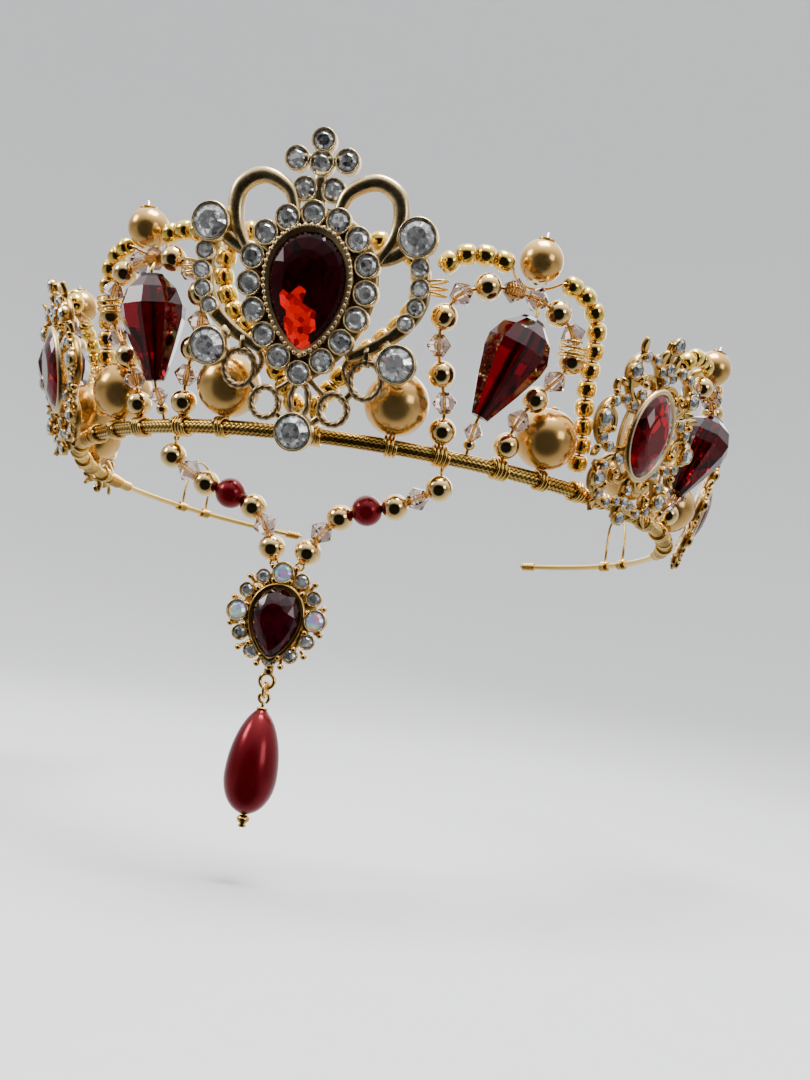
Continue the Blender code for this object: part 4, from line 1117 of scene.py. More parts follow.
@dataclass
class CentreMedallion:
    """The tall front casting with its pear stone."""

    wall: Wall
    out: float = 4.0 * MM
    half_thickness: float = 0.7 * MM
    ring_count: int = 16
    ring_stone: float = 2.25 * MM
    crest: tuple[tuple[float, float], ...] = ((2.5, 41.7), (-2.5, 41.7), (4.4, 46.6), (-4.4, 46.6), (0.0, 46.1), (0.0, 49.8))
    crest_stone: float = 2.2 * MM
    large: dict[str, tuple[float, float]] = field(default_factory=lambda: {
        "upper_right": (18.1, 34.5), "upper_left": (-18.1, 34.5), "lower_right": (16.8, 13.5),
        "lower_left": (-16.8, 13.5), "bottom": (0.0, 0.3)})
    large_stone: float = 3.45 * MM
    stone_half: tuple[float, float] = (7.1 * MM, 10.3 * MM)
    stone_up: float = 24.25 * MM

    def ring_spots(self) -> np.ndarray:
        """Seats of the ring stones, evenly spaced on a pear outline from its round top."""
        outline = pear(10.4 * MM, 13.35 * MM, 23.75 * MM, 240)
        outline = np.vstack([np.roll(outline, -120, axis=0), outline[120]])
        spots, _ = along(outline, length_of(outline) * np.arange(self.ring_count) / self.ring_count)
        return spots

    def crescent(self) -> list[tuple[float, float]]:
        """Curve of the crescent that hangs from the upper large stone."""
        return [(18.2, 33.0), (19.0, 29.5), (19.2, 24.5), (17.2, 20.2), (13.3, 16.8), (7.6, 13.8)]

    def castings(self) -> Shape:
        """The back plate, the ears, the crescents and their links, all flat-backed."""
        half = self.half_thickness
        # The back plate behind the stones has a fixed share of painted shade.
        shapes = [plate(pear(11.9 * MM, 14.9 * MM, 23.75 * MM, 96), [(0.2 * MM, -half), (0.0, -0.4 * MM), (0.0, 0.1 * MM),
                                                                     (0.5 * MM, 0.5 * MM)]).lit(0.45)]
        for sign in (1, -1):
            ear = flat(mirror([(3.6, 37.2), (5.4, 41.3), (9.8, 43.3), (13.5, 41.6), (14.6, 38.2), (13.9, 34.4),
                               (11.2, 29.8)], sign))
            width = np.interp(np.linspace(0, 1, len(ear)), [0, 0.25, 0.5, 0.75, 1], [2.0, 2.6, 3.0, 2.8, 1.8]) * MM
            shapes.append(strip(ear, width, 1.25 * MM, half, 18))
            crescent = flat(mirror(self.crescent(), sign))
            width = np.interp(np.linspace(0, 1, len(crescent)), [0, 0.4, 1], [2.6, 3.4, 1.6]) * MM
            shapes.append(strip(crescent, width, 0.75 * MM, half, 18, 0.2 * MM))
            shapes.append(strip(flat(mirror([(10.6, 30.6), (14.0, 31.6), (17.4, 34.0)], sign)), 2.8 * MM, 1.0 * MM, half))
            shapes.append(strip(flat(mirror([(16.8, 13.5), (14.0, 17.0)], sign), 3), 2.4 * MM, 0.8 * MM, half))
            shapes.append(strip(flat(mirror([(11.1, 12.6), (11.1, 16.0)], sign), 3), 1.5 * MM, 0.7 * MM, half))
            shapes.append(strip(flat(mirror([(9.8, 8.8), (7.4, 6.2)], sign), 3), 1.3 * MM, 0.6 * MM, half))
            shapes.append(strip(flat(mirror([(4.6, 3.8), (1.4, 1.2)], sign), 3), 1.3 * MM, 0.6 * MM, half))
        shapes.append(strip(flat([(0.0, 37.0), (0.0, 45.0)], 4), 2.2 * MM, 0.6 * MM, half))
        shapes.append(strip(flat([(-4.4, 46.6), (0.0, 46.2), (4.4, 46.6)], 4), 1.8 * MM, 0.6 * MM, half))
        return joined(shapes)

    def rope_loops(self) -> Shape:
        """Twisted loops below the stones: ellipses x = c + r cos t, y = c + s r sin t, as roped wire."""
        rings = [((11.4, 10.4), 2.75, 1.15), ((-11.4, 10.4), 2.75, 1.15), ((6.2, 4.9), 2.5, 1.05), ((-6.2, 4.9), 2.5, 1.05),
                 ((0.0, 5.9), 1.6, 1.9)]
        t = np.linspace(0, 2 * np.pi, 120, endpoint=False)
        shapes = []
        for (x, y), radius, stretch in rings:
            path = np.stack([x + radius * np.cos(t), y + radius * stretch * np.sin(t), np.full(len(t), 0.15)], axis=1) * MM
            shapes.append(tube(path, 0.66 * MM, UP, 10, closed=True, rope=(2, round(13 * radius / 2.5), 0.24)))
        for sign in (1, -1):
            swirl = [(9.4, 8.4), (8.2, 9.9), (7.4, 12.0), (8.2, 13.8)]
            shapes.append(tube(flat(mirror(swirl, sign)), 0.55 * MM, UP, 10, rope=(2, 9, 0.24)))
            swirl = [(1.6, 9.4), (3.0, 8.2), (4.2, 7.4)]
            shapes.append(tube(flat(mirror(swirl, sign)), 0.55 * MM, UP, 10, rope=(2, 7, 0.24)))
        return joined(shapes)

    def small_seats(self) -> tuple[list[tuple[float, float, float]], list[float]]:
        """Every small stone's place and cup radius: the ring, the crest and four in each crescent."""
        spots = [(x, y, 0.35 * MM) for x, y in self.ring_spots()]
        sizes = [self.ring_stone] * len(spots)
        spots += [(x * MM, (y - 0.26) * MM, -1.55 * MM) for x, y in self.crest]
        sizes += [self.crest_stone] * len(self.crest)
        for sign in (1, -1):
            path = flat(mirror(self.crescent(), sign))
            seats, _ = along(path, np.array([3.4, 6.7, 9.9, 13.0]) * MM)
            spots += [(x, y, 0.0) for x, y, _ in seats]
            sizes += [1.72 * MM, 1.72 * MM, 1.66 * MM, 1.58 * MM]
        return spots, sizes

    def build(self) -> None:
        """All of the centre medallion."""
        place = self.wall.matrix(0.0, self.out)
        top = self.half_thickness
        piece("centre_casting", self.castings().moved(place), CAST_GOLD, stands_for=("centre_medallion_frame",))
        piece("centre_rope_loops", self.rope_loops().moved(place), BEZEL_GOLD)
        spots, sizes = self.small_seats()
        collars = [size * 1.0 for size in sizes]
        high = cup(16)
        high.points[:, 2] *= 1.15
        piece("centre_small_cups", scattered(high, spots, collars, 0.3 * MM).moved(place), CAST_GOLD)
        seats = [(x, y, z + 0.62 * size) for (x, y, z), size in zip(spots, sizes)]
        piece("centre_small_stones", scattered(brilliant(), seats, [0.87 * s for s in sizes], 0.3 * MM).moved(place),
              CLEAR_STONE, smooth=False)
        for name, (x, y) in self.large.items():
            seat = [(x * MM, y * MM, 0.0)]
            stone = scattered(brilliant(10), seat, [0.87 * self.large_stone], top + 1.75 * MM)
            piece(f"large_stone_{name}", stone.moved(place), CLEAR_STONE, stands_for=(f"rhinestone_{name}",), smooth=False)
        seats = [(x * MM, y * MM, 0.0) for x, y in self.large.values()]
        piece("centre_large_cups", scattered(cup(28), seats, [self.large_stone] * 5, 0.1 * MM).moved(place), CAST_GOLD)
        self.pear_stone(place)
        self.ties(place)

    def pear_stone(self, place: np.ndarray) -> None:
        """The red stone and its milled bezel."""
        (half_width, half_height), up = self.stone_half, self.stone_up
        base = self.half_thickness + 0.25 * MM
        stone = cut_stone(pear(half_width, half_height, up, 18), [(0.97, base), (1.0, base + 1.3 * MM), (0.86, base + 2.3 * MM),
                                                                  (0.66, base + 3.1 * MM), (0.52, base + 3.4 * MM)])
        # Centre of the pear stone's painted glowing patch.
        painted_glow_centre = place @ np.array([-0.9 * MM, 19.2 * MM, base + 3.0 * MM, 1.0])
        garnet = GarnetStone("garnet_stone_finish", "red_stone", (0.002, 0.0, 0.0), (0.014, 0.0, 0.001), (0.1, 0.0, 0.0),
                             metallic=0.25, painted_glow_centre=tuple(float(v) for v in painted_glow_centre[:3]))
        piece("centre_pear_stone", stone.moved(place), garnet, stands_for=("centre_stone",), smooth=False)
        outline = pear(half_width, half_height, up, 120)
        # The bezel wall has a fixed share of painted shade.
        wall = plate(outline, [(-0.95 * MM, 0.2 * MM), (-0.95 * MM, base + 1.0 * MM), (-0.7 * MM, base + 1.7 * MM),
                               (-0.25 * MM, base + 1.75 * MM), (0.05 * MM, base + 1.5 * MM)]).lit(0.55)
        line = np.vstack([outline, outline[:1]])
        count = 54
        beads, _ = along(line, length_of(line) * np.arange(count) / count)
        beads = (beads - [0, up]) * [1.075, 1.055] + [0, up]
        grains = scattered(ball(8, 6), [(x, y, 0.0) for x, y in beads], [0.44 * MM] * count, base + 1.7 * MM)
        piece("centre_milled_bezel", joined([wall, grains]).moved(place), BEZEL_GOLD, stands_for=("centre_stone_bezel",))

    def ties(self, place: np.ndarray) -> None:
        """Wire turns that tie the crescents to the petals' strings."""
        shapes = []
        for sign in (1, -1):
            for height, tilt in ((27.0, 0.0), (27.9, 0.5), (26.2, -0.4)):
                t = np.linspace(0, 2 * np.pi, 40, endpoint=False)
                x = sign * (20.6 + 3.0 * np.cos(t))
                path = np.stack([x, height + tilt * np.cos(t), -0.7 + 1.75 * np.sin(t)], axis=1) * MM
                shapes.append(tube(path, 0.2 * MM, np.array([0.0, 1.0, 0.0]), 6, closed=True))
        piece("centre_tie_wires", joined(shapes).moved(place), WIRE_GOLD)


@dataclass
class SideMedallion:
    """Smaller casting with an oval red stone among scrolls set with tiny stones."""

    wall: Wall
    name: str
    angle: float
    out: float = 4.1 * MM
    scale: float = 1.0
    half_thickness: float = 0.7 * MM
    half_width: float = 5.4 * MM
    half_height: float = 8.4 * MM
    up: float = 14.5 * MM

    def scrolls(self) -> list[tuple[list[tuple[float, float]], float]]:
        """Curves of one side's scrolls and the width of each, in millimetres."""
        return [
            ([(0.6, 24.6), (2.6, 27.4), (5.6, 28.2), (8.4, 27.0), (9.9, 24.4), (8.6, 22.2), (6.6, 22.8), (6.9, 24.6)], 1.5),
            ([(9.4, 24.0), (8.6, 21.4), (6.4, 19.6), (4.6, 18.9)], 1.3),
            ([(4.8, 17.4), (8.2, 18.9), (11.4, 18.0), (13.4, 15.4), (13.4, 12.8), (11.4, 10.4), (8.2, 9.5), (4.6, 10.4)], 1.6),
            ([(11.8, 16.6), (10.0, 15.2), (9.4, 13.4), (10.4, 12.0)], 1.1),
            ([(4.4, 8.6), (6.6, 8.0), (8.8, 6.2), (10.1, 3.6), (8.8, 1.4), (6.6, 2.0), (6.8, 3.8)], 1.5),
            ([(9.4, 2.6), (6.8, 0.2), (3.6, -0.2), (1.0, 1.6)], 1.4),
            ([(1.2, 23.0), (2.8, 24.6), (4.8, 24.4), (5.2, 22.6)], 1.1),
            ([(1.2, 5.8), (2.8, 4.2), (4.8, 4.4), (5.2, 6.2)], 1.1),
        ]

    def leaves(self) -> list[tuple[float, float, float, float]]:
        """Small leaves of one side: X, Y, direction in degrees and length, in millimetres."""
        return [(7.6, 27.8, 62.0, 3.6), (11.2, 19.6, 40.0, 3.0), (11.0, 8.8, -40.0, 3.0), (7.4, -0.4, -60.0, 2.8),
                (2.4, 28.0, 100.0, 3.0), (9.4, 21.4, 15.0, 2.6), (9.6, 6.2, -15.0, 2.6)]

    def leaf(self, x: float, y: float, turn: float, length: float) -> Shape:
        """Pointed leaf: a strip whose width is that of half a sine wave, with a channel along it."""
        t = np.linspace(0.03, 0.97, 12)
        heading = math.radians(turn)
        path = np.stack([x + t * length * math.cos(heading), y + t * length * math.sin(heading), 0.15 + 0.9 * t ** 2], axis=1)
        return strip(path * MM, 1.7 * MM * np.sin(np.pi * t) ** 0.8, 0.75 * MM, 0.35 * MM, 12, 0.22 * MM)

    def casting(self) -> Shape:
        """Scrolls, leaves, the spine and the plate behind the stone."""
        half = self.half_thickness
        # The plate behind the stone has a fixed share of painted shade.
        shapes = [plate(navette(6.2 * MM, 9.4 * MM, self.up, 64), [(0.0, -half), (0.0, 0.2 * MM), (0.5 * MM, 0.7 * MM)]).lit(0.35)]
        for sign in (1, -1):
            for curve, width in self.scrolls():
                path = flat(mirror(curve, sign), 7)
                taper = 0.55 + 0.45 * np.sin(np.pi * np.linspace(0.12, 1.0, len(path)))
                shapes.append(strip(path, width * MM * taper * 1.15, 1.05 * MM, half, 12, 0.16 * MM))
            for x, y, turn, length in self.leaves():
                shapes.append(self.leaf(sign * x, y, turn if sign > 0 else 180.0 - turn, length))
        for curve in ([(0.0, 22.6), (0.0, 33.0)], [(0.0, 6.4), (0.0, -2.6)]):
            shapes.append(strip(flat(curve, 8), 1.7 * MM, 0.9 * MM, half, 12))
        for turn in (35.0, 90.0, 145.0):
            shapes.append(self.leaf(0.0, 30.6, turn, 2.9))
        return joined(shapes)

    def seats(self) -> tuple[list[tuple[float, float, float]], list[float]]:
        """Places and cup radii of the tiny stones: along the scrolls, at their knots and up the spine."""
        spots, sizes = [], []
        for sign in (1, -1):
            for number, first, last, count, size in ((0, 2.2, 11.5, 4, 1.12), (2, 2.0, 18.5, 7, 1.12), (4, 1.6, 9.0, 3, 1.08),
                                                     (5, 2.4, 8.6, 3, 1.05)):
                path = flat(mirror(self.scrolls()[number][0], sign), 7)
                places, _ = along(path, np.linspace(first, last, count) * MM)
                spots += [(x, y, 0.55 * MM) for x, y, _ in places]
                sizes += [size * MM] * count
            for x, y, size in ((9.7, 24.2, 1.65), (13.5, 14.1, 1.75), (9.9, 3.5, 1.65), (5.4, 20.9, 1.1), (5.4, 8.0, 1.1)):
                spots.append((sign * x * MM, y * MM, 0.7 * MM))
                sizes.append(size * MM)
        for y, size in ((25.2, 1.15), (27.6, 1.25), (32.4, 1.5), (3.4, 1.15), (1.0, 1.2), (-2.3, 1.45)):
            spots.append((0.0, y * MM, 0.6 * MM))
            sizes.append(size * MM)
        return spots, sizes

    def build(self) -> None:
        """All of one side medallion."""
        place = self.wall.matrix(self.angle, self.out)
        place[:3, :3] *= self.scale
        piece(f"{self.name}_casting", self.casting().moved(place), SCROLL_GOLD, stands_for=(f"{self.name}_frame",))
        spots, sizes = self.seats()
        piece(f"{self.name}_cups", scattered(cup(10), spots, sizes, 0.0).moved(place), SCROLL_GOLD)
        seats = [(x, y, z + 0.66 * size) for (x, y, z), size in zip(spots, sizes)]
        stones = scattered(brilliant(6), seats, [0.9 * s for s in sizes], 0.0)
        piece(f"{self.name}_small_stones", stones.moved(place), CLEAR_STONE, smooth=False)
        grains = [(sign * x * MM, y * MM, 0.9 * MM) for sign in (1, -1)
                  for x, y in ((6.8, 23.6), (9.9, 12.9), (6.9, 3.0), (4.9, 23.0), (5.0, 5.8), (12.2, 19.4), (12.2, 8.8))]
        piece(f"{self.name}_grains", scattered(ball(), grains, [0.75 * MM] * len(grains), 0.0).moved(place), SCROLL_GOLD)
        base = self.half_thickness + 0.25 * MM
        outline = navette(self.half_width, self.half_height, self.up, 16)
        stone = cut_stone(outline, [(1.0, base), (1.02, base + 1.2 * MM), (0.84, base + 2.1 * MM), (0.60, base + 2.75 * MM),
                                    (0.50, base + 2.9 * MM)])
        piece(f"{self.name}_oval_stone", stone.moved(place), RED_STONE, stands_for=(f"{self.name}_stone",), smooth=False)
        rim = plate(navette(self.half_width, self.half_height, self.up, 72),
                    [(-0.9 * MM, 0.2 * MM), (-0.95 * MM, base + 0.9 * MM), (-0.7 * MM, base + 1.5 * MM),
                     (-0.2 * MM, base + 1.6 * MM), (0.15 * MM, base + 1.2 * MM)])
        piece(f"{self.name}_rim", rim.moved(place), BEZEL_GOLD)


# ---------------------------------------------------------------- beaded work

@dataclass
class Petal:
    """A wired loop of beads on the wall, with a faceted drop hung inside it, and a seed bead arch behind."""

    wall: Wall
    place: str
    side: str
    angle: float
    out: float = 0.3 * MM
    drop_foot_up_out: tuple[float, float] = (8.3 * MM, 2.3 * MM)
    drop_length: float = 19.6 * MM
    drop_radius: float = 6.1 * MM

    @property
    def sign(self) -> int:
        """1 on the wearer's left of the front centre, -1 on the other side."""
        return SIDES[self.side]

    def on_wall(self, rows: list[tuple[float, float, float]] | np.ndarray) -> np.ndarray:
        """Wall points of this petal, from distances in metres whose first is mirrored on the left."""
        rows = np.array(rows, float)
        rows[:, 0] *= self.sign
        return self.wall.points(self.sign * self.angle, rows)

    def string_path(self) -> np.ndarray:
        """Centre line of the beads, from the inner foot to the outer one."""
        outline = [(-7.2, 2.0), (-7.7, 4.4), (-8.2, 9.0), (-9.8, 14.0), (-11.2, 19.0), (-11.3, 24.0), (-9.4, 28.4),
                   (-4.6, 31.0), (1.0, 31.3), (6.4, 30.3), (10.8, 27.8), (12.7, 23.8), (11.4, 19.6), (8.8, 15.8),
                   (6.5, 11.6), (5.0, 7.6), (4.5, 4.4), (4.3, 2.0)]
        curve = spline(np.array(outline) * MM, 8)
        ends = np.minimum(np.arange(len(curve)), np.arange(len(curve))[::-1])
        out = np.where(ends < 4, 0.8 * MM, self.out)
        return self.on_wall(np.column_stack([curve, out]))

    def axes(self) -> tuple[np.ndarray, np.ndarray, np.ndarray]:
        """Directions along, up and out at the petal's angle."""
        _, tangent, up, out = self.wall.axes(self.sign * self.angle)
        return tangent, up, out

    def string(self) -> None:
        """The wire, its turns at the feet and top, and the beads."""
        tangent, up, out = self.axes()
        path = self.string_path()
        shapes = [tube(path, WIRE, out, 8)]
        for along_band in (-7.2, 4.3):
            foot = self.wall.reach(self.angle, along_band * MM)
            shapes.append(self.wall.winding(self.sign * float(foot), 4, 1.78 * MM, 0.72 * MM, WIRE))
        apex, way = along(path, np.array([0.47, 0.5]) * length_of(path))
        line = apex[0] + np.linspace(-1.4, 1.4, 70)[:, None] * MM * way[0]
        shapes.append(tube(helix(line, out, np.cross(way[0], out), 0.85 * MM, 5), 0.24 * MM, way[0], 6))
        knot = self.on_wall([(12.4 * MM, 24.4 * MM, 0.3 * MM)])[0]
        line = knot + np.linspace(-1.6, 1.6, 84)[:, None] * MM * up
        shapes.append(tube(helix(line, out, tangent, 2.75 * MM, 3), 0.24 * MM, up, 6))
        laid = BEADS.thread(path, "GBGBGBGBBGBGBGBG", out)
        tag = f"{self.place}_{self.side}"
        piece(f"petal_wire_{tag}", joined(shapes), WIRE_GOLD)
        piece(f"petal_gold_beads_{tag}", laid[Bead.GOLD], BEAD_GOLD, stands_for=(f"petal_{tag}",))
        piece(f"petal_bicones_{tag}", laid[Bead.BICONE], SMOKE_GLASS, smooth=False)

    def drop_frame(self) -> np.ndarray:
        """Frame of the drop: local Z climbs along its upright wire."""
        tangent, up, out = self.axes()
        lean, along = (math.radians(17.0), -2.4 * MM) if self.sign > 0 else (math.radians(1.0), -2.6 * MM)
        z = up * math.cos(lean) + tangent * self.sign * math.sin(lean)
        frame_matrix = np.eye(4)
        frame_matrix[:3, 0], frame_matrix[:3, 1], frame_matrix[:3, 2] = np.cross(out, z), out, z
        frame_matrix[:3, 3] = self.on_wall([(along, *self.drop_foot_up_out)])[0]
        return frame_matrix

    def drop(self) -> None:
        """Faceted drop, its upright wire with a loop at the top, and the small bicone and spacer under it."""
        place = self.drop_frame()
        r, h = self.drop_radius, self.drop_length
        line = [(1.7 * MM, 0.0), (0.68 * r, 0.32 * h), (0.96 * r, 0.58 * h), (r, 0.70 * h), (0.80 * r, 0.86 * h),
                (0.42 * r, 0.97 * h), (0.36 * r, h)]
        tag = f"{self.place}_{self.side}"
        glass = turned([(0.7 * MM, 0.0)] + line + [(0.7 * MM, h)], 9, wrap=True)
        piece(f"faceted_drop_{tag}", glass.moved(place), RED_GLASS, f"drop_{tag}", (f"drop_{tag}",), smooth=False)
        # Painted shade: a near-black tube lines the drop's bore; the drilled wall is real, its dark colour is painted
        # shade inside the hole.
        bore_shade = tube(np.array([[0.0, 0.0, 0.15 * MM], [0.0, 0.0, h - 0.15 * MM]]), 0.6 * MM, (0.0, 1.0, 0.0), 10)
        piece(f"drop_bore_{tag}", bore_shade.moved(place), DARK_STONE_AND_BORE_SHADE, f"drop_{tag}")
        z = np.linspace(-0.8 * MM, h + 1.2 * MM, 12)
        rod = np.stack([0 * z, 0 * z, z], axis=1) @ place[:3, :3].T + place[:3, 3]
        beads = self.on_wall([(-2.6 * MM, 5.6 * MM, 1.6 * MM), (-2.5 * MM, 3.2 * MM, 0.6 * MM), (-2.4 * MM, 1.3 * MM, 0.1 * MM)])
        top = self.on_wall([((3.4 if self.sign > 0 else -1.6) * MM, 30.9 * MM, 0.7 * MM)])
        path = spline(np.vstack([top, rod[::-1], beads]), 6)
        shapes = [tube(path, 0.3 * MM, place[:3, 1] + 0.3 * place[:3, 0], 8)]
        piece(f"drop_rod_{tag}", joined(shapes), WIRE_GOLD, stands_for=(f"drop_wire_{tag}",))
        way = unit((rod[0] - beads[0])[None])
        side = unit(np.cross(way, place[:3, 1]))
        lift = np.cross(way, side)
        small = turned([(0.5 * MM, -1.6 * MM), (0.7 * MM, -1.6 * MM), (1.9 * MM, 0.0), (0.7 * MM, 1.6 * MM), (0.5 * MM, 1.6 * MM)], 8)
        piece(f"drop_bicone_{tag}", copies(small, beads[:1], side, lift, way), SMOKE_GLASS, smooth=False)
        spacer = BEADS.round_bead(1.15 * MM, 14, 8)
        piece(f"drop_spacer_{tag}", copies(spacer, beads[1:2], side, lift, way), BEAD_GOLD)

    def arch(self) -> None:
        """Seed beads over the petal in two runs, with the wire that joins them under the top pearl."""
        depth = -1.6 * MM
        first = [(-12.8, 32.2), (-11.2, 34.6), (-8.0, 36.1), (-4.0, 36.2), (-1.6, 35.6)]
        second = [(8.2, 35.6), (11.6, 35.2), (15.2, 33.0), (17.2, 29.0), (18.0, 23.6), (19.2, 17.0), (21.4, 10.0), (22.4, 3.6)]
        out = self.axes()[2]
        beads, wires = [], []
        for curve in (first, second):
            flat_curve = spline(np.array(curve) * MM, 8)
            path = self.on_wall(np.column_stack([flat_curve, np.full(len(flat_curve), depth)]))
            kinds = "S" * round(length_of(path) / (3.42 * MM))
            beads.append(BEADS.thread(path, kinds, out)[Bead.SEED])
            wires.append(path)
        bridge = self.on_wall(np.array([(0.2, 34.2, -3.6), (3.3, 33.4, -4.6), (6.4, 34.2, -3.6)]) * MM)
        whole = spline(np.vstack([wires[0][::4], bridge, wires[1][::4]]), 6)
        tag = f"{self.place}_{self.side}"
        piece(f"seed_arch_{tag}", joined(beads), SEED_GOLD, stands_for=(f"seed_arc_{tag}",))
        foot = self.wall.winding(self.sign * float(self.wall.reach(self.angle, 22.4 * MM)), 3, 1.78 * MM, 0.72 * MM, WIRE)
        piece(f"seed_arch_wire_{tag}", joined([tube(whole, 0.26 * MM, out, 6), foot]), WIRE_GOLD)

    def build(self) -> None:
        """All of one petal."""
        self.string()
        self.drop()
        self.arch()


@dataclass
class PearlWork:
    """Large pearls on the band, small ones above the petals, and the seed bead heart behind the centre."""

    wall: Wall
    lower_angles: tuple[float, ...] = (12.6, 36.0, 56.2, 78.9)
    lower_out: tuple[float, ...] = (-1.8, -1.8, -3.0, -1.8)
    lower_up: float = 7.7 * MM
    lower_radius: float = 5.9 * MM
    top_radius: float = 4.0 * MM
    heart_out: float = 0.2 * MM

    def pearl(self, radius: float) -> Shape:
        """Ball with a shallow dimple at each end of its hole: r = R sin a, h = -R cos a, less the dimple."""
        a = np.linspace(0.06, np.pi - 0.06, 25)
        h = -radius * np.cos(a)
        h -= np.sign(h) * 0.03 * radius * np.exp(-(np.minimum(a, np.pi - a) / 0.16) ** 2)
        return turned(list(zip(radius * np.sin(a), h)), 40)

    def lower(self, number: int, side: str, sign: int) -> None:
        """One large pearl, its pin and the pin's turns round the band."""
        angle = sign * self.lower_angles[number]
        place = self.wall.matrix(angle)
        stand = np.eye(4)
        stand[:3, :3] = [[1, 0, 0], [0, 0, 1], [0, -1, 0]]
        stand[:3, 3] = (0, self.lower_up, self.lower_out[number] * MM)
        tag = f"{number + 1}_{side}"
        piece(f"large_pearl_{tag}", self.pearl(self.lower_radius).moved(place @ stand), CHAMPAGNE_PEARL,
              stands_for=(f"pearl_{tag}",))
        top = self.lower_up + self.lower_radius
        line = np.array([(0, top + 0.15 * MM, stand[2, 3]), (0, top - 1 * MM, stand[2, 3]), (0, 1.9 * MM, stand[2, 3]),
                         (0, 1.0 * MM, 0.4 * stand[2, 3]), (0, 0.4 * MM, 1.4 * MM)])
        pin = tube(spline(line, 5), 0.3 * MM, np.array([1.0, 0.0, 0.0]), 8).moved(place)
        head = ball(12, 8).moved(np.diag([0.75 * MM, 0.3 * MM, 0.75 * MM, 1.0]))
        head = head.moved(np.block([[np.eye(3), np.array([[0], [top + 0.1 * MM], [stand[2, 3]]])], [0, 0, 0, 1]])).moved(place)
        turns = self.wall.winding(angle, 3, 1.76 * MM, 0.72 * MM, 0.3 * MM)
        piece(f"pearl_pin_{tag}", joined([pin, head, turns]), WIRE_GOLD)

    def upper(self, place: str, petal: Petal) -> None:
        """One small pearl with a six-leaved cap, on a pin that stands on the seed bead wire."""
        angle = petal.sign * float(self.wall.reach(petal.angle, 3.3 * MM))
        spot = self.wall.matrix(angle)
        stand = np.eye(4)
        stand[:3, :3] = [[1, 0, 0], [0, 0, 1], [0, -1, 0]]
        stand[:3, 3] = (0, 38.1 * MM, -2.2 * MM)
        tag = f"{place}_{petal.side}"
        piece(f"small_pearl_{tag}", self.pearl(self.top_radius).moved(spot @ stand), CHAMPAGNE_PEARL,
              stands_for=(f"top_pearl_{tag}",))
        turn = 2 * np.pi * np.arange(36)[None, :] / 36
        drawn = np.linspace(0.06, 1.0, 9)[:, None]
        reach = 2.3 * MM * drawn * (1 - 0.42 * drawn * (0.5 - 0.5 * np.cos(6 * turn)))
        lift = -np.sqrt((self.top_radius + 0.12 * MM) ** 2 - reach ** 2)
        outer = np.stack([reach * np.cos(turn), reach * np.sin(turn), lift], axis=-1)
        inner = outer[::-1] * (1 - 0.05)
        cap = loft(np.concatenate([outer, inner]), Cap.FLAT, Cap.FLAT)
        cap.points[:, 2] *= 1.0
        pin = turned([(0.0, -self.top_radius - 0.4 * MM), (0.6 * MM, -self.top_radius - 0.25 * MM), (0.3 * MM, -self.top_radius),
                      (0.3 * MM, self.top_radius + 1.2 * MM), (0.0, self.top_radius + 1.3 * MM)], 12)
        base = turned([(0.0, 3.6 * MM), (1.5 * MM, 3.75 * MM), (1.7 * MM, 4.0 * MM), (0.0, 4.3 * MM)], 18)
        piece(f"pearl_cap_{tag}", joined([cap, pin, base]).moved(spot @ stand), CAST_GOLD)

    def heart(self) -> None:
        """Seed beads on a heart-shaped wire."""
        half = [(1.2, 3.8), (4.4, 9.0), (9.0, 15.4), (13.8, 20.6), (16.4, 26.4), (15.4, 32.0), (11.2, 35.0), (6.0, 33.2),
                (0.0, 29.0)]
        outline = spline(np.array([(-x, y) for x, y in half] + half[-2::-1]) * MM, 8)
        path = self.wall.points(0.0, np.column_stack([outline, np.full(len(outline), self.heart_out)]))
        out = self.wall.axes(0.0)[3]
        beads = BEADS.thread(path, "S" * round(length_of(path) / (3.42 * MM)), out)[Bead.SEED]
        piece("seed_bead_heart", beads, SEED_GOLD, stands_for=("seed_heart",))
        feet = [self.wall.winding(angle, 4, 1.76 * MM, 0.72 * MM, WIRE) for angle in (-1.6, 1.6)]
        legs = [tube(self.wall.points(0.0, np.array([(sign * 1.2, 4.0, self.heart_out / MM), (sign * 1.2, 2.6, -1.7), (sign * 1.2, 1.2, -1.6)]) * MM),
                     WIRE, np.array([1.0, 0.0, 0.0]), 6) for sign in (1, -1)]
        piece("seed_bead_heart_wire", joined([tube(path, 0.26 * MM, out, 6)] + feet + legs), WIRE_GOLD)

    def build(self, petals: dict[str, Petal]) -> None:
        """Every pearl and the heart."""
        for side, sign in SIDES.items():
            for number in range(len(self.lower_angles)):
                self.lower(number, side, sign)
        for petal in petals.values():
            self.upper(petal.place, petal)
        self.heart()



# ---------------------------------------------------------------- hanging pieces

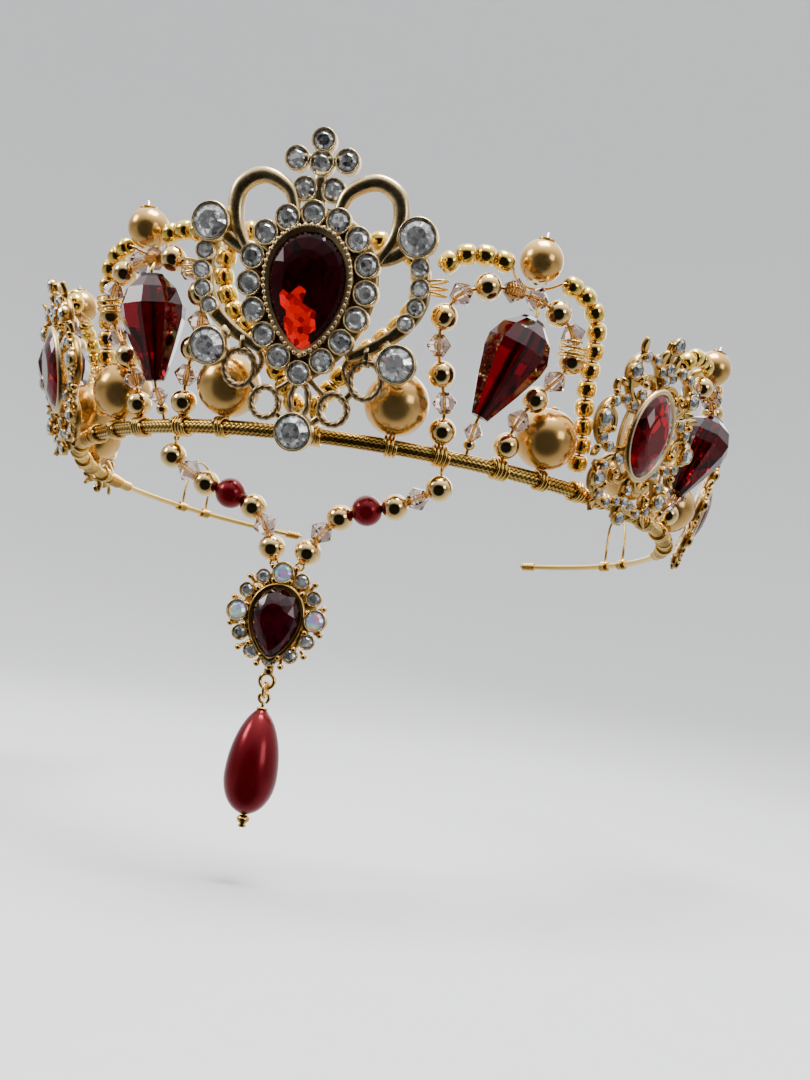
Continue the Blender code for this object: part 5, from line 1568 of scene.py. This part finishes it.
@dataclass
class Swag:
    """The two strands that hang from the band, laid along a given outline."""

    depth: float
    outline: tuple[tuple[float, float], ...] = ((25.3, -2.8), (25.5, -5.6), (21.3, -8.4), (17.0, -10.6), (12.6, -11.6),
                                                (8.5, -13.2), (5.3, -16.6), (3.3, -20.6), (2.4, -22.9))

    def build(self) -> None:
        """Both strands: gold, bicone, gold, red pearl, gold, bicone, gold."""
        for side, sign in SIDES.items():
            flat_curve = spline(np.array(self.outline) * MM * [sign, 1], 8)
            path = np.column_stack([flat_curve[:, 0], np.full(len(flat_curve), self.depth), flat_curve[:, 1]])
            forward = np.array([0.0, -1.0, 0.0])
            start, way = along(path, np.array([0.0]))
            total = length_of(path)
            strung, _ = along(path, np.linspace(0.9 * MM, total - 0.3 * MM, 80))
            laid = BEADS.thread(strung, "GBGRGBG", forward)
            piece(f"swag_gold_beads_{side}", laid[Bead.GOLD], BEAD_GOLD, BODY_SWAG, (f"swag_strand_{side}",))
            piece(f"swag_bicones_{side}", laid[Bead.BICONE], SMOKE_GLASS, BODY_SWAG, smooth=False)
            piece(f"swag_red_pearl_{side}", laid[Bead.RED], RED_PEARL, BODY_SWAG)
            t = np.linspace(0, 2 * np.pi, 28, endpoint=False)
            eye = start[0] + np.stack([0 * t, 0.75 * MM * np.sin(t), 0.75 * MM * np.cos(t) + 0.5 * MM], axis=1)
            foot = path[-1] + np.stack([0.7 * MM * np.sin(t), 0 * t, 0.7 * MM * np.cos(t) - 0.3 * MM], axis=1)
            wires = [tube(path, 0.28 * MM, forward, 7), tube(eye, 0.26 * MM, np.array([1.0, 0.0, 0.0]), 7, closed=True),
                     tube(foot, 0.26 * MM, forward, 7, closed=True)]
            piece(f"swag_wire_{side}", joined(wires), WIRE_GOLD, BODY_SWAG)


@dataclass
class Pendant:
    """The pear-stone cluster, its ring and the drop pearl under it."""

    depth: float
    centre: float = -33.2 * MM
    half: float = 0.6 * MM
    lobes: int = 12
    ring_top: float = -44.45 * MM
    ring_radius: float = 1.35 * MM
    ring_wire: float = 0.3 * MM
    loop_radius: float = 0.9 * MM
    pearl_top: float = -49.0 * MM
    pearl_length: float = 18.4 * MM
    pearl_radius: float = 4.65 * MM

    def frame_matrix(self) -> np.ndarray:
        """The cluster's flat frame: local X, Y and Z along +X, +Z and -Y."""
        matrix = np.eye(4)
        matrix[:3, :3] = np.array([[1, 0, 0], [0, 0, -1], [0, 1, 0]], float)
        matrix[:3, 3] = (0.0, self.depth, self.centre)
        return matrix

    def cluster(self) -> None:
        """Plate, lobes with stones or prong balls, the bezel and the pear stone."""
        place = self.frame_matrix()
        k = np.arange(self.lobes)
        turn = 2 * np.pi * k / self.lobes
        x, y = 7.2 * MM * np.sin(turn), 0.6 * MM + 7.7 * MM * np.cos(turn)
        # The plate under the lobes has a fixed share of painted shade.
        shapes = [plate(pear(6.7 * MM, 8.4 * MM, 0.3 * MM, 72), [(0.0, -self.half), (0.0, 0.1 * MM), (0.4 * MM, 0.6 * MM)]).lit(0.4)]
        for a, b in zip(x, y):
            arm = np.array([(0.55 * a, 0.55 * b, 0.0), (a, b, 0.0)])
            arm = arm[0] + (arm[1] - arm[0]) * np.linspace(0, 1, 5)[:, None]
            shapes.append(strip(arm, 1.9 * MM, 0.7 * MM, self.half, 12))
        t = np.linspace(0, 2 * np.pi, 48, endpoint=False)
        eye_up = self.ring_top - self.centre + 0.25 * MM
        eye = np.stack([1.3 * MM * np.sin(t), eye_up + 1.3 * MM * np.cos(t), 0 * t], axis=1)
        shapes.append(tube(eye, 0.36 * MM, UP, 8, closed=True))
        shapes.append(strip(np.array([(0.0, -9.9, 0.0), (0.0, -9.2, 0.0), (0.0, -8.2, 0.0)]) * MM, 1.7 * MM, 0.7 * MM, self.half, 10))
        # The bezel round the pear stone has a fixed share of painted shade.
        shapes.append(plate(pear(4.5 * MM, 6.4 * MM, -0.6 * MM, 72),
                            [(-0.8 * MM, 0.2 * MM), (-0.8 * MM, 1.4 * MM), (-0.3 * MM, 1.9 * MM), (0.1 * MM, 1.5 * MM)]).lit(0.7))
        piece("cluster_casting", joined(shapes).moved(place), SCROLL_GOLD, BODY_CLUSTER, ("pendant_cluster_frame",))
        rainbow = np.isin(k, (0, 3, 9))
        large = [(a, b, 0.2 * MM) for a, b in zip(x[rainbow], y[rainbow])]
        small = [(a, b, 0.2 * MM) for a, b in zip(x[~rainbow], y[~rainbow])]
        cups = [scattered(cup(20), large, [2.05 * MM] * 3, 0.1 * MM), scattered(cup(14), small, [1.45 * MM] * len(small), 0.1 * MM)]
        prong_turn = turn + np.pi / self.lobes
        prongs = [(8.6 * MM * math.sin(a), 0.6 * MM + 9.1 * MM * math.cos(a), 0.9 * MM) for a in prong_turn]
        inner = [(5.9 * MM * math.sin(a), 0.1 * MM + 7.0 * MM * math.cos(a), 1.3 * MM) for a in prong_turn]
        cups.append(scattered(ball(), prongs + inner, [0.62 * MM] * 24, 0.0))
        for spot in prongs:
            rise = np.array([(0.86 * spot[0], 0.86 * spot[1], 0.0), spot])
            line = rise[0] + (rise[1] - rise[0]) * np.linspace(0, 1, 4)[:, None]
            cups.append(tube(line, 0.36 * MM, np.array([0.31, 0.17, 0.93]), 6))
        piece("cluster_cups", joined(cups).moved(place), SCROLL_GOLD, BODY_CLUSTER)
        stones = scattered(brilliant(10), large, [1.8 * MM] * 3, 1.2 * MM)
        piece("cluster_rainbow_stones", stones.moved(place), RAINBOW_STONE, BODY_CLUSTER, smooth=False)
        stones = scattered(brilliant(), small, [1.27 * MM] * len(small), 0.9 * MM)
        piece("cluster_small_stones", stones.moved(place), CLEAR_STONE, BODY_CLUSTER, smooth=False)
        base = 0.9 * MM
        stone = cut_stone(pear(4.5 * MM, 6.4 * MM, -0.6 * MM, 14), [(0.98, base), (1.0, base + 0.9 * MM), (0.82, base + 1.9 * MM),
                                                                    (0.62, base + 2.5 * MM), (0.5, base + 2.7 * MM)])
        piece("cluster_pear_stone", stone.moved(place), DARK_STONE_AND_BORE_SHADE, BODY_CLUSTER, ("pendant_cluster_stone",), smooth=False)

    def ring(self) -> None:
        """Open jump ring: x = 0, y = r sin t, z = r cos t, with a hairline gap at the top."""
        t = np.radians(np.linspace(6, 354, 80))[:, None]
        path = np.hstack([0 * t, self.ring_radius * np.sin(t), self.ring_radius * np.cos(t)])
        path += [0.0, self.depth, self.ring_top - self.ring_radius]
        piece("round_jump_ring", tube(path, self.ring_wire, np.array([1.0, 0.0, 0.0]), 12), WIRE_GOLD, BODY_RING, ("jump_ring",))

    def drop(self) -> None:
        """Drop pearl, r = R sqrt(1 - b^2) (1 - a^2)^0.62 below and above its girth, and the eye pin through it."""
        low = self.pearl_top - self.pearl_length
        a = np.linspace(0, 1, 40)
        below, above = np.clip(1 - a / 0.36, 0, 1), np.clip((a - 0.36) / 0.64, 0, 1)
        girth = self.pearl_radius * np.sqrt(1 - below ** 2) * (1 - above ** 2) ** 0.62
        girth = np.maximum(girth, 0.75 * MM)
        line = [(0.5 * MM, low + 0.5 * MM)] + list(zip(girth, low + a * self.pearl_length)) + [(0.5 * MM, self.pearl_top - 0.5 * MM)]
        at = np.eye(4)
        at[1, 3] = self.depth
        piece("red_drop_pearl", turned(line, 40, wrap=True).moved(at), RED_PEARL, BODY_DROP, ("drop_pearl",))
        loop_middle = self.ring_top - 2 * self.ring_radius + 2 * self.ring_wire + 0.25 * MM - self.loop_radius
        t = np.radians(np.linspace(512, 182, 60))[:, None]
        loop = np.hstack([self.loop_radius * np.sin(t), 0 * t, loop_middle + self.loop_radius * np.cos(t)])
        shank = np.array([(0.0, 0.0, loop_middle - self.loop_radius - 0.35 * MM), (0.0, 0.0, self.pearl_top - 2 * MM),
                          (0.0, 0.0, low + 1 * MM), (0.0, 0.0, low - 0.4 * MM)])
        path = np.vstack([loop, spline(shank, 6)])
        end = [(0.0, low - 2.3 * MM), (0.55 * MM, low - 2.25 * MM), (0.75 * MM, low - 2.0 * MM), (0.45 * MM, low - 1.7 * MM),
               (1.05 * MM, low - 1.2 * MM), (1.15 * MM, low - 0.7 * MM), (0.8 * MM, low - 0.25 * MM), (0.0, low - 0.1 * MM)]
        cap = [(0.0, self.pearl_top - 0.1 * MM), (1.0 * MM, self.pearl_top - 0.25 * MM), (0.9 * MM, self.pearl_top + 0.1 * MM),
               (0.0, self.pearl_top + 0.2 * MM)]
        shape = joined([tube(path, 0.3 * MM, np.array([0.0, 1.0, 0.0]), 10), turned(end, 20), turned(cap, 20)])
        piece("drop_eye_pin", shape.moved(at), WIRE_GOLD, BODY_DROP, ("eye_pin",))

    def build(self) -> None:
        """All of the pendant."""
        self.cluster()
        self.ring()
        self.drop()


# Near-black red stone with painted facet reflections and glints; the same material paints the shade inside the drops'
# bores.
DARK_STONE_AND_BORE_SHADE = FoiledStone("dark_stone_and_bore_shade_finish", "red_stone", (0.003, 0.0, 0.0), (0.025, 0.0, 0.002), (0.30, 0.0, 0.006),
                         0.93, 520.0, 0.3)


# ---------------------------------------------------------------- studio

@dataclass
class Studio:
    """Camera, soft lights and a pale dished floor."""

    lens: float = 32.08
    azimuth: float = math.radians(9.32)
    elevation: float = math.radians(-7.94)
    roll: float = math.radians(8.91)
    target: tuple[float, float, float] = (12.57 * MM, -22.27 * MM, -8.93 * MM)
    distance: float = 221.85 * MM
    floor_drop: float = 10.0 * MM

    def camera(self) -> None:
        """Camera that looks a little up at the front, rolled to one side."""
        az, el = self.azimuth, self.elevation
        back = np.array([math.sin(az) * math.cos(el), -math.cos(az) * math.cos(el), math.sin(el)])
        right = unit(np.cross(-back, UP)[None])[0]
        up = np.cross(right, -back)
        turned_right = math.cos(self.roll) * right + math.sin(self.roll) * up
        turned_up = math.cos(self.roll) * up - math.sin(self.roll) * right
        data = bpy.data.cameras.new("camera")
        data.lens = self.lens
        data.sensor_width = 36.0
        data.clip_start = 0.01
        item = bpy.data.objects.new("camera", data)
        bpy.context.scene.collection.objects.link(item)
        matrix = np.eye(4)
        matrix[:3, 0], matrix[:3, 1], matrix[:3, 2] = turned_right, turned_up, back
        matrix[:3, 3] = np.array(self.target) + self.distance * back
        item.matrix_world = Matrix(matrix.tolist())
        bpy.context.scene.camera = item

    def light(self, name: str, place: tuple[float, float, float], size: float, power: float,
              colour: tuple[float, float, float] = (1.0, 1.0, 1.0)) -> None:
        """Square soft light aimed at the crown."""
        data = bpy.data.lights.new(name, "AREA")
        data.size = size
        data.energy = power
        data.color = colour
        item = bpy.data.objects.new(name, data)
        item.location = place
        item.rotation_euler = (Vector((0.0, 0.0, 0.0)) - Vector(place)).to_track_quat("-Z", "Y").to_euler()
        bpy.context.scene.collection.objects.link(item)

    def floor(self) -> None:
        """Pale sheet: flat in the middle and curved up all round, height = drop + k (r - r0)^2."""
        low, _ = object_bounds()
        base = low[2] - self.floor_drop
        t = -2 * np.pi * np.arange(96)[None, :] / 96
        r = np.linspace(0.02, 3.2, 80)[:, None]
        height = base + 0.55 * np.maximum(r - 0.55, 0.0) ** 2
        rings = np.stack([r * np.cos(t), r * np.sin(t), height + 0 * t], axis=-1)
        shape = loft(rings, Cap.FLAT, Cap.OPEN)
        mesh = bpy.data.meshes.new("pale_floor")
        mesh.from_pydata(shape.points.tolist(), [], [f for faces in shape.faces for f in faces.tolist()])
        mesh.shade_smooth()
        item = bpy.data.objects.new("pale_floor", mesh)
        bpy.context.scene.collection.objects.link(item)
        material = bpy.data.materials.new("paper_floor_finish")
        material.use_nodes = True
        nodes = Nodes(material.node_tree)
        place = nodes.add("TexCoord").outputs["Object"]
        fibre = nodes.add("TexNoise", None, Vector=place, Scale=220.0, Detail=4.0).outputs["Fac"]
        colour = nodes.mix(fibre, (0.79, 0.80, 0.805, 1), (0.83, 0.835, 0.84, 1))
        bump = nodes.add("Bump", None, Height=fibre, Strength=0.05, Distance=0.0002)
        shader = nodes.add("BsdfPrincipled", None, Base_Color=colour, Roughness=0.75, Normal=bump.outputs[0])
        nodes.add("OutputMaterial", None, Surface=shader.outputs[0])
        mesh.materials.append(material)
        item.visible_glossy = False
        item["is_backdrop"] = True

    def surroundings(self) -> None:
        """A room to mirror: bright overhead, pale behind and below, darker on the viewer's side."""
        world = bpy.data.worlds.new("room")
        bpy.context.scene.world = world
        world.use_nodes = True
        nodes = Nodes(world.node_tree)
        way = nodes.add("TexCoord").outputs["Generated"]
        parts = nodes.add("SeparateXYZ", None, Vector=way)
        high = nodes.math("MULTIPLY_ADD", parts.outputs["Z"], 0.5, 0.5)
        sky = nodes.ramp(high, [(0.0, (0.34, 0.34, 0.34)), (0.38, (0.40, 0.40, 0.40)), (0.50, (0.16, 0.16, 0.16)),
                                (0.62, (0.30, 0.30, 0.31)), (0.78, (0.85, 0.86, 0.88)), (0.92, (1.9, 1.9, 1.92))])
        rear = nodes.math("MULTIPLY_ADD", parts.outputs["Y"], 0.5, 0.5)
        wall = nodes.ramp(rear, [(0.35, (0.0, 0.0, 0.0)), (0.62, (0.28, 0.29, 0.30)), (0.9, (0.65, 0.66, 0.68))])
        room = nodes.mix(1.0, sky, wall, "ADD")
        facing = nodes.add("VectorMath", {"operation": "DOT_PRODUCT"}, i0=way, i1=(0.12, -0.88, -0.46)).outputs["Value"]
        viewer = nodes.ramp(facing, [(0.52, (1.0, 1.0, 1.0)), (0.74, (0.03, 0.03, 0.03))])
        room = nodes.mix(1.0, room, viewer, "MULTIPLY")
        mirrored_ray = nodes.add("LightPath").outputs["Is Glossy Ray"]
        colour = nodes.mix(mirrored_ray, (0.98, 0.98, 0.99, 1), room)
        background = nodes.add("Background", None, Color=colour, Strength=1.05)
        nodes.add("OutputWorld", None, Surface=background.outputs[0])

    def build(self) -> None:
        """Everything round the crown."""
        self.camera()
        self.floor()
        self.surroundings()
        self.light("overhead_softbox", (0.05, -0.16, 0.60), 0.30, 7.5)
        self.light("left_softbox", (-0.60, -0.36, 0.34), 0.24, 2.4)
        self.light("right_fill", (0.60, -0.45, 0.15), 0.25, 0.8)
        self.light("rear_softbox", (0.10, 0.60, 0.35), 0.4, 1.6)


def main() -> None:
    """Build the crown's looks, then the studio."""
    logging.basicConfig(level=logging.INFO, format="%(name)s %(message)s")
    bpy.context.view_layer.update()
    GROUPS.update(plating=build_plating_group(), facets=build_facet_group(), lustre=build_lustre_group())
    wall = Wall.measured()
    Band(wall).build()
    CentreMedallion(wall).build()
    petals = {}
    for side, sign in SIDES.items():
        SideMedallion(wall, f"side_medallion_{side}", sign * 49.0).build()
        SideMedallion(wall, f"far_medallion_{side}", sign * 89.5, out=3.4 * MM, scale=0.82).build()
        for place, angle in (("front", 25.5), ("rear", 68.5)):
            petal = Petal(wall, place, side, angle)
            petal.build()
            petals[f"{place}_{side}"] = petal
    PearlWork(wall).build(petals)
    low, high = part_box("swag_strand_right")
    pendant_low, pendant_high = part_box("jump_ring")
    depth = 0.5 * (pendant_low.y + pendant_high.y)
    Swag(depth).build()
    Pendant(depth).build()
    Studio().build()


if __name__ == "__main__":
    main()
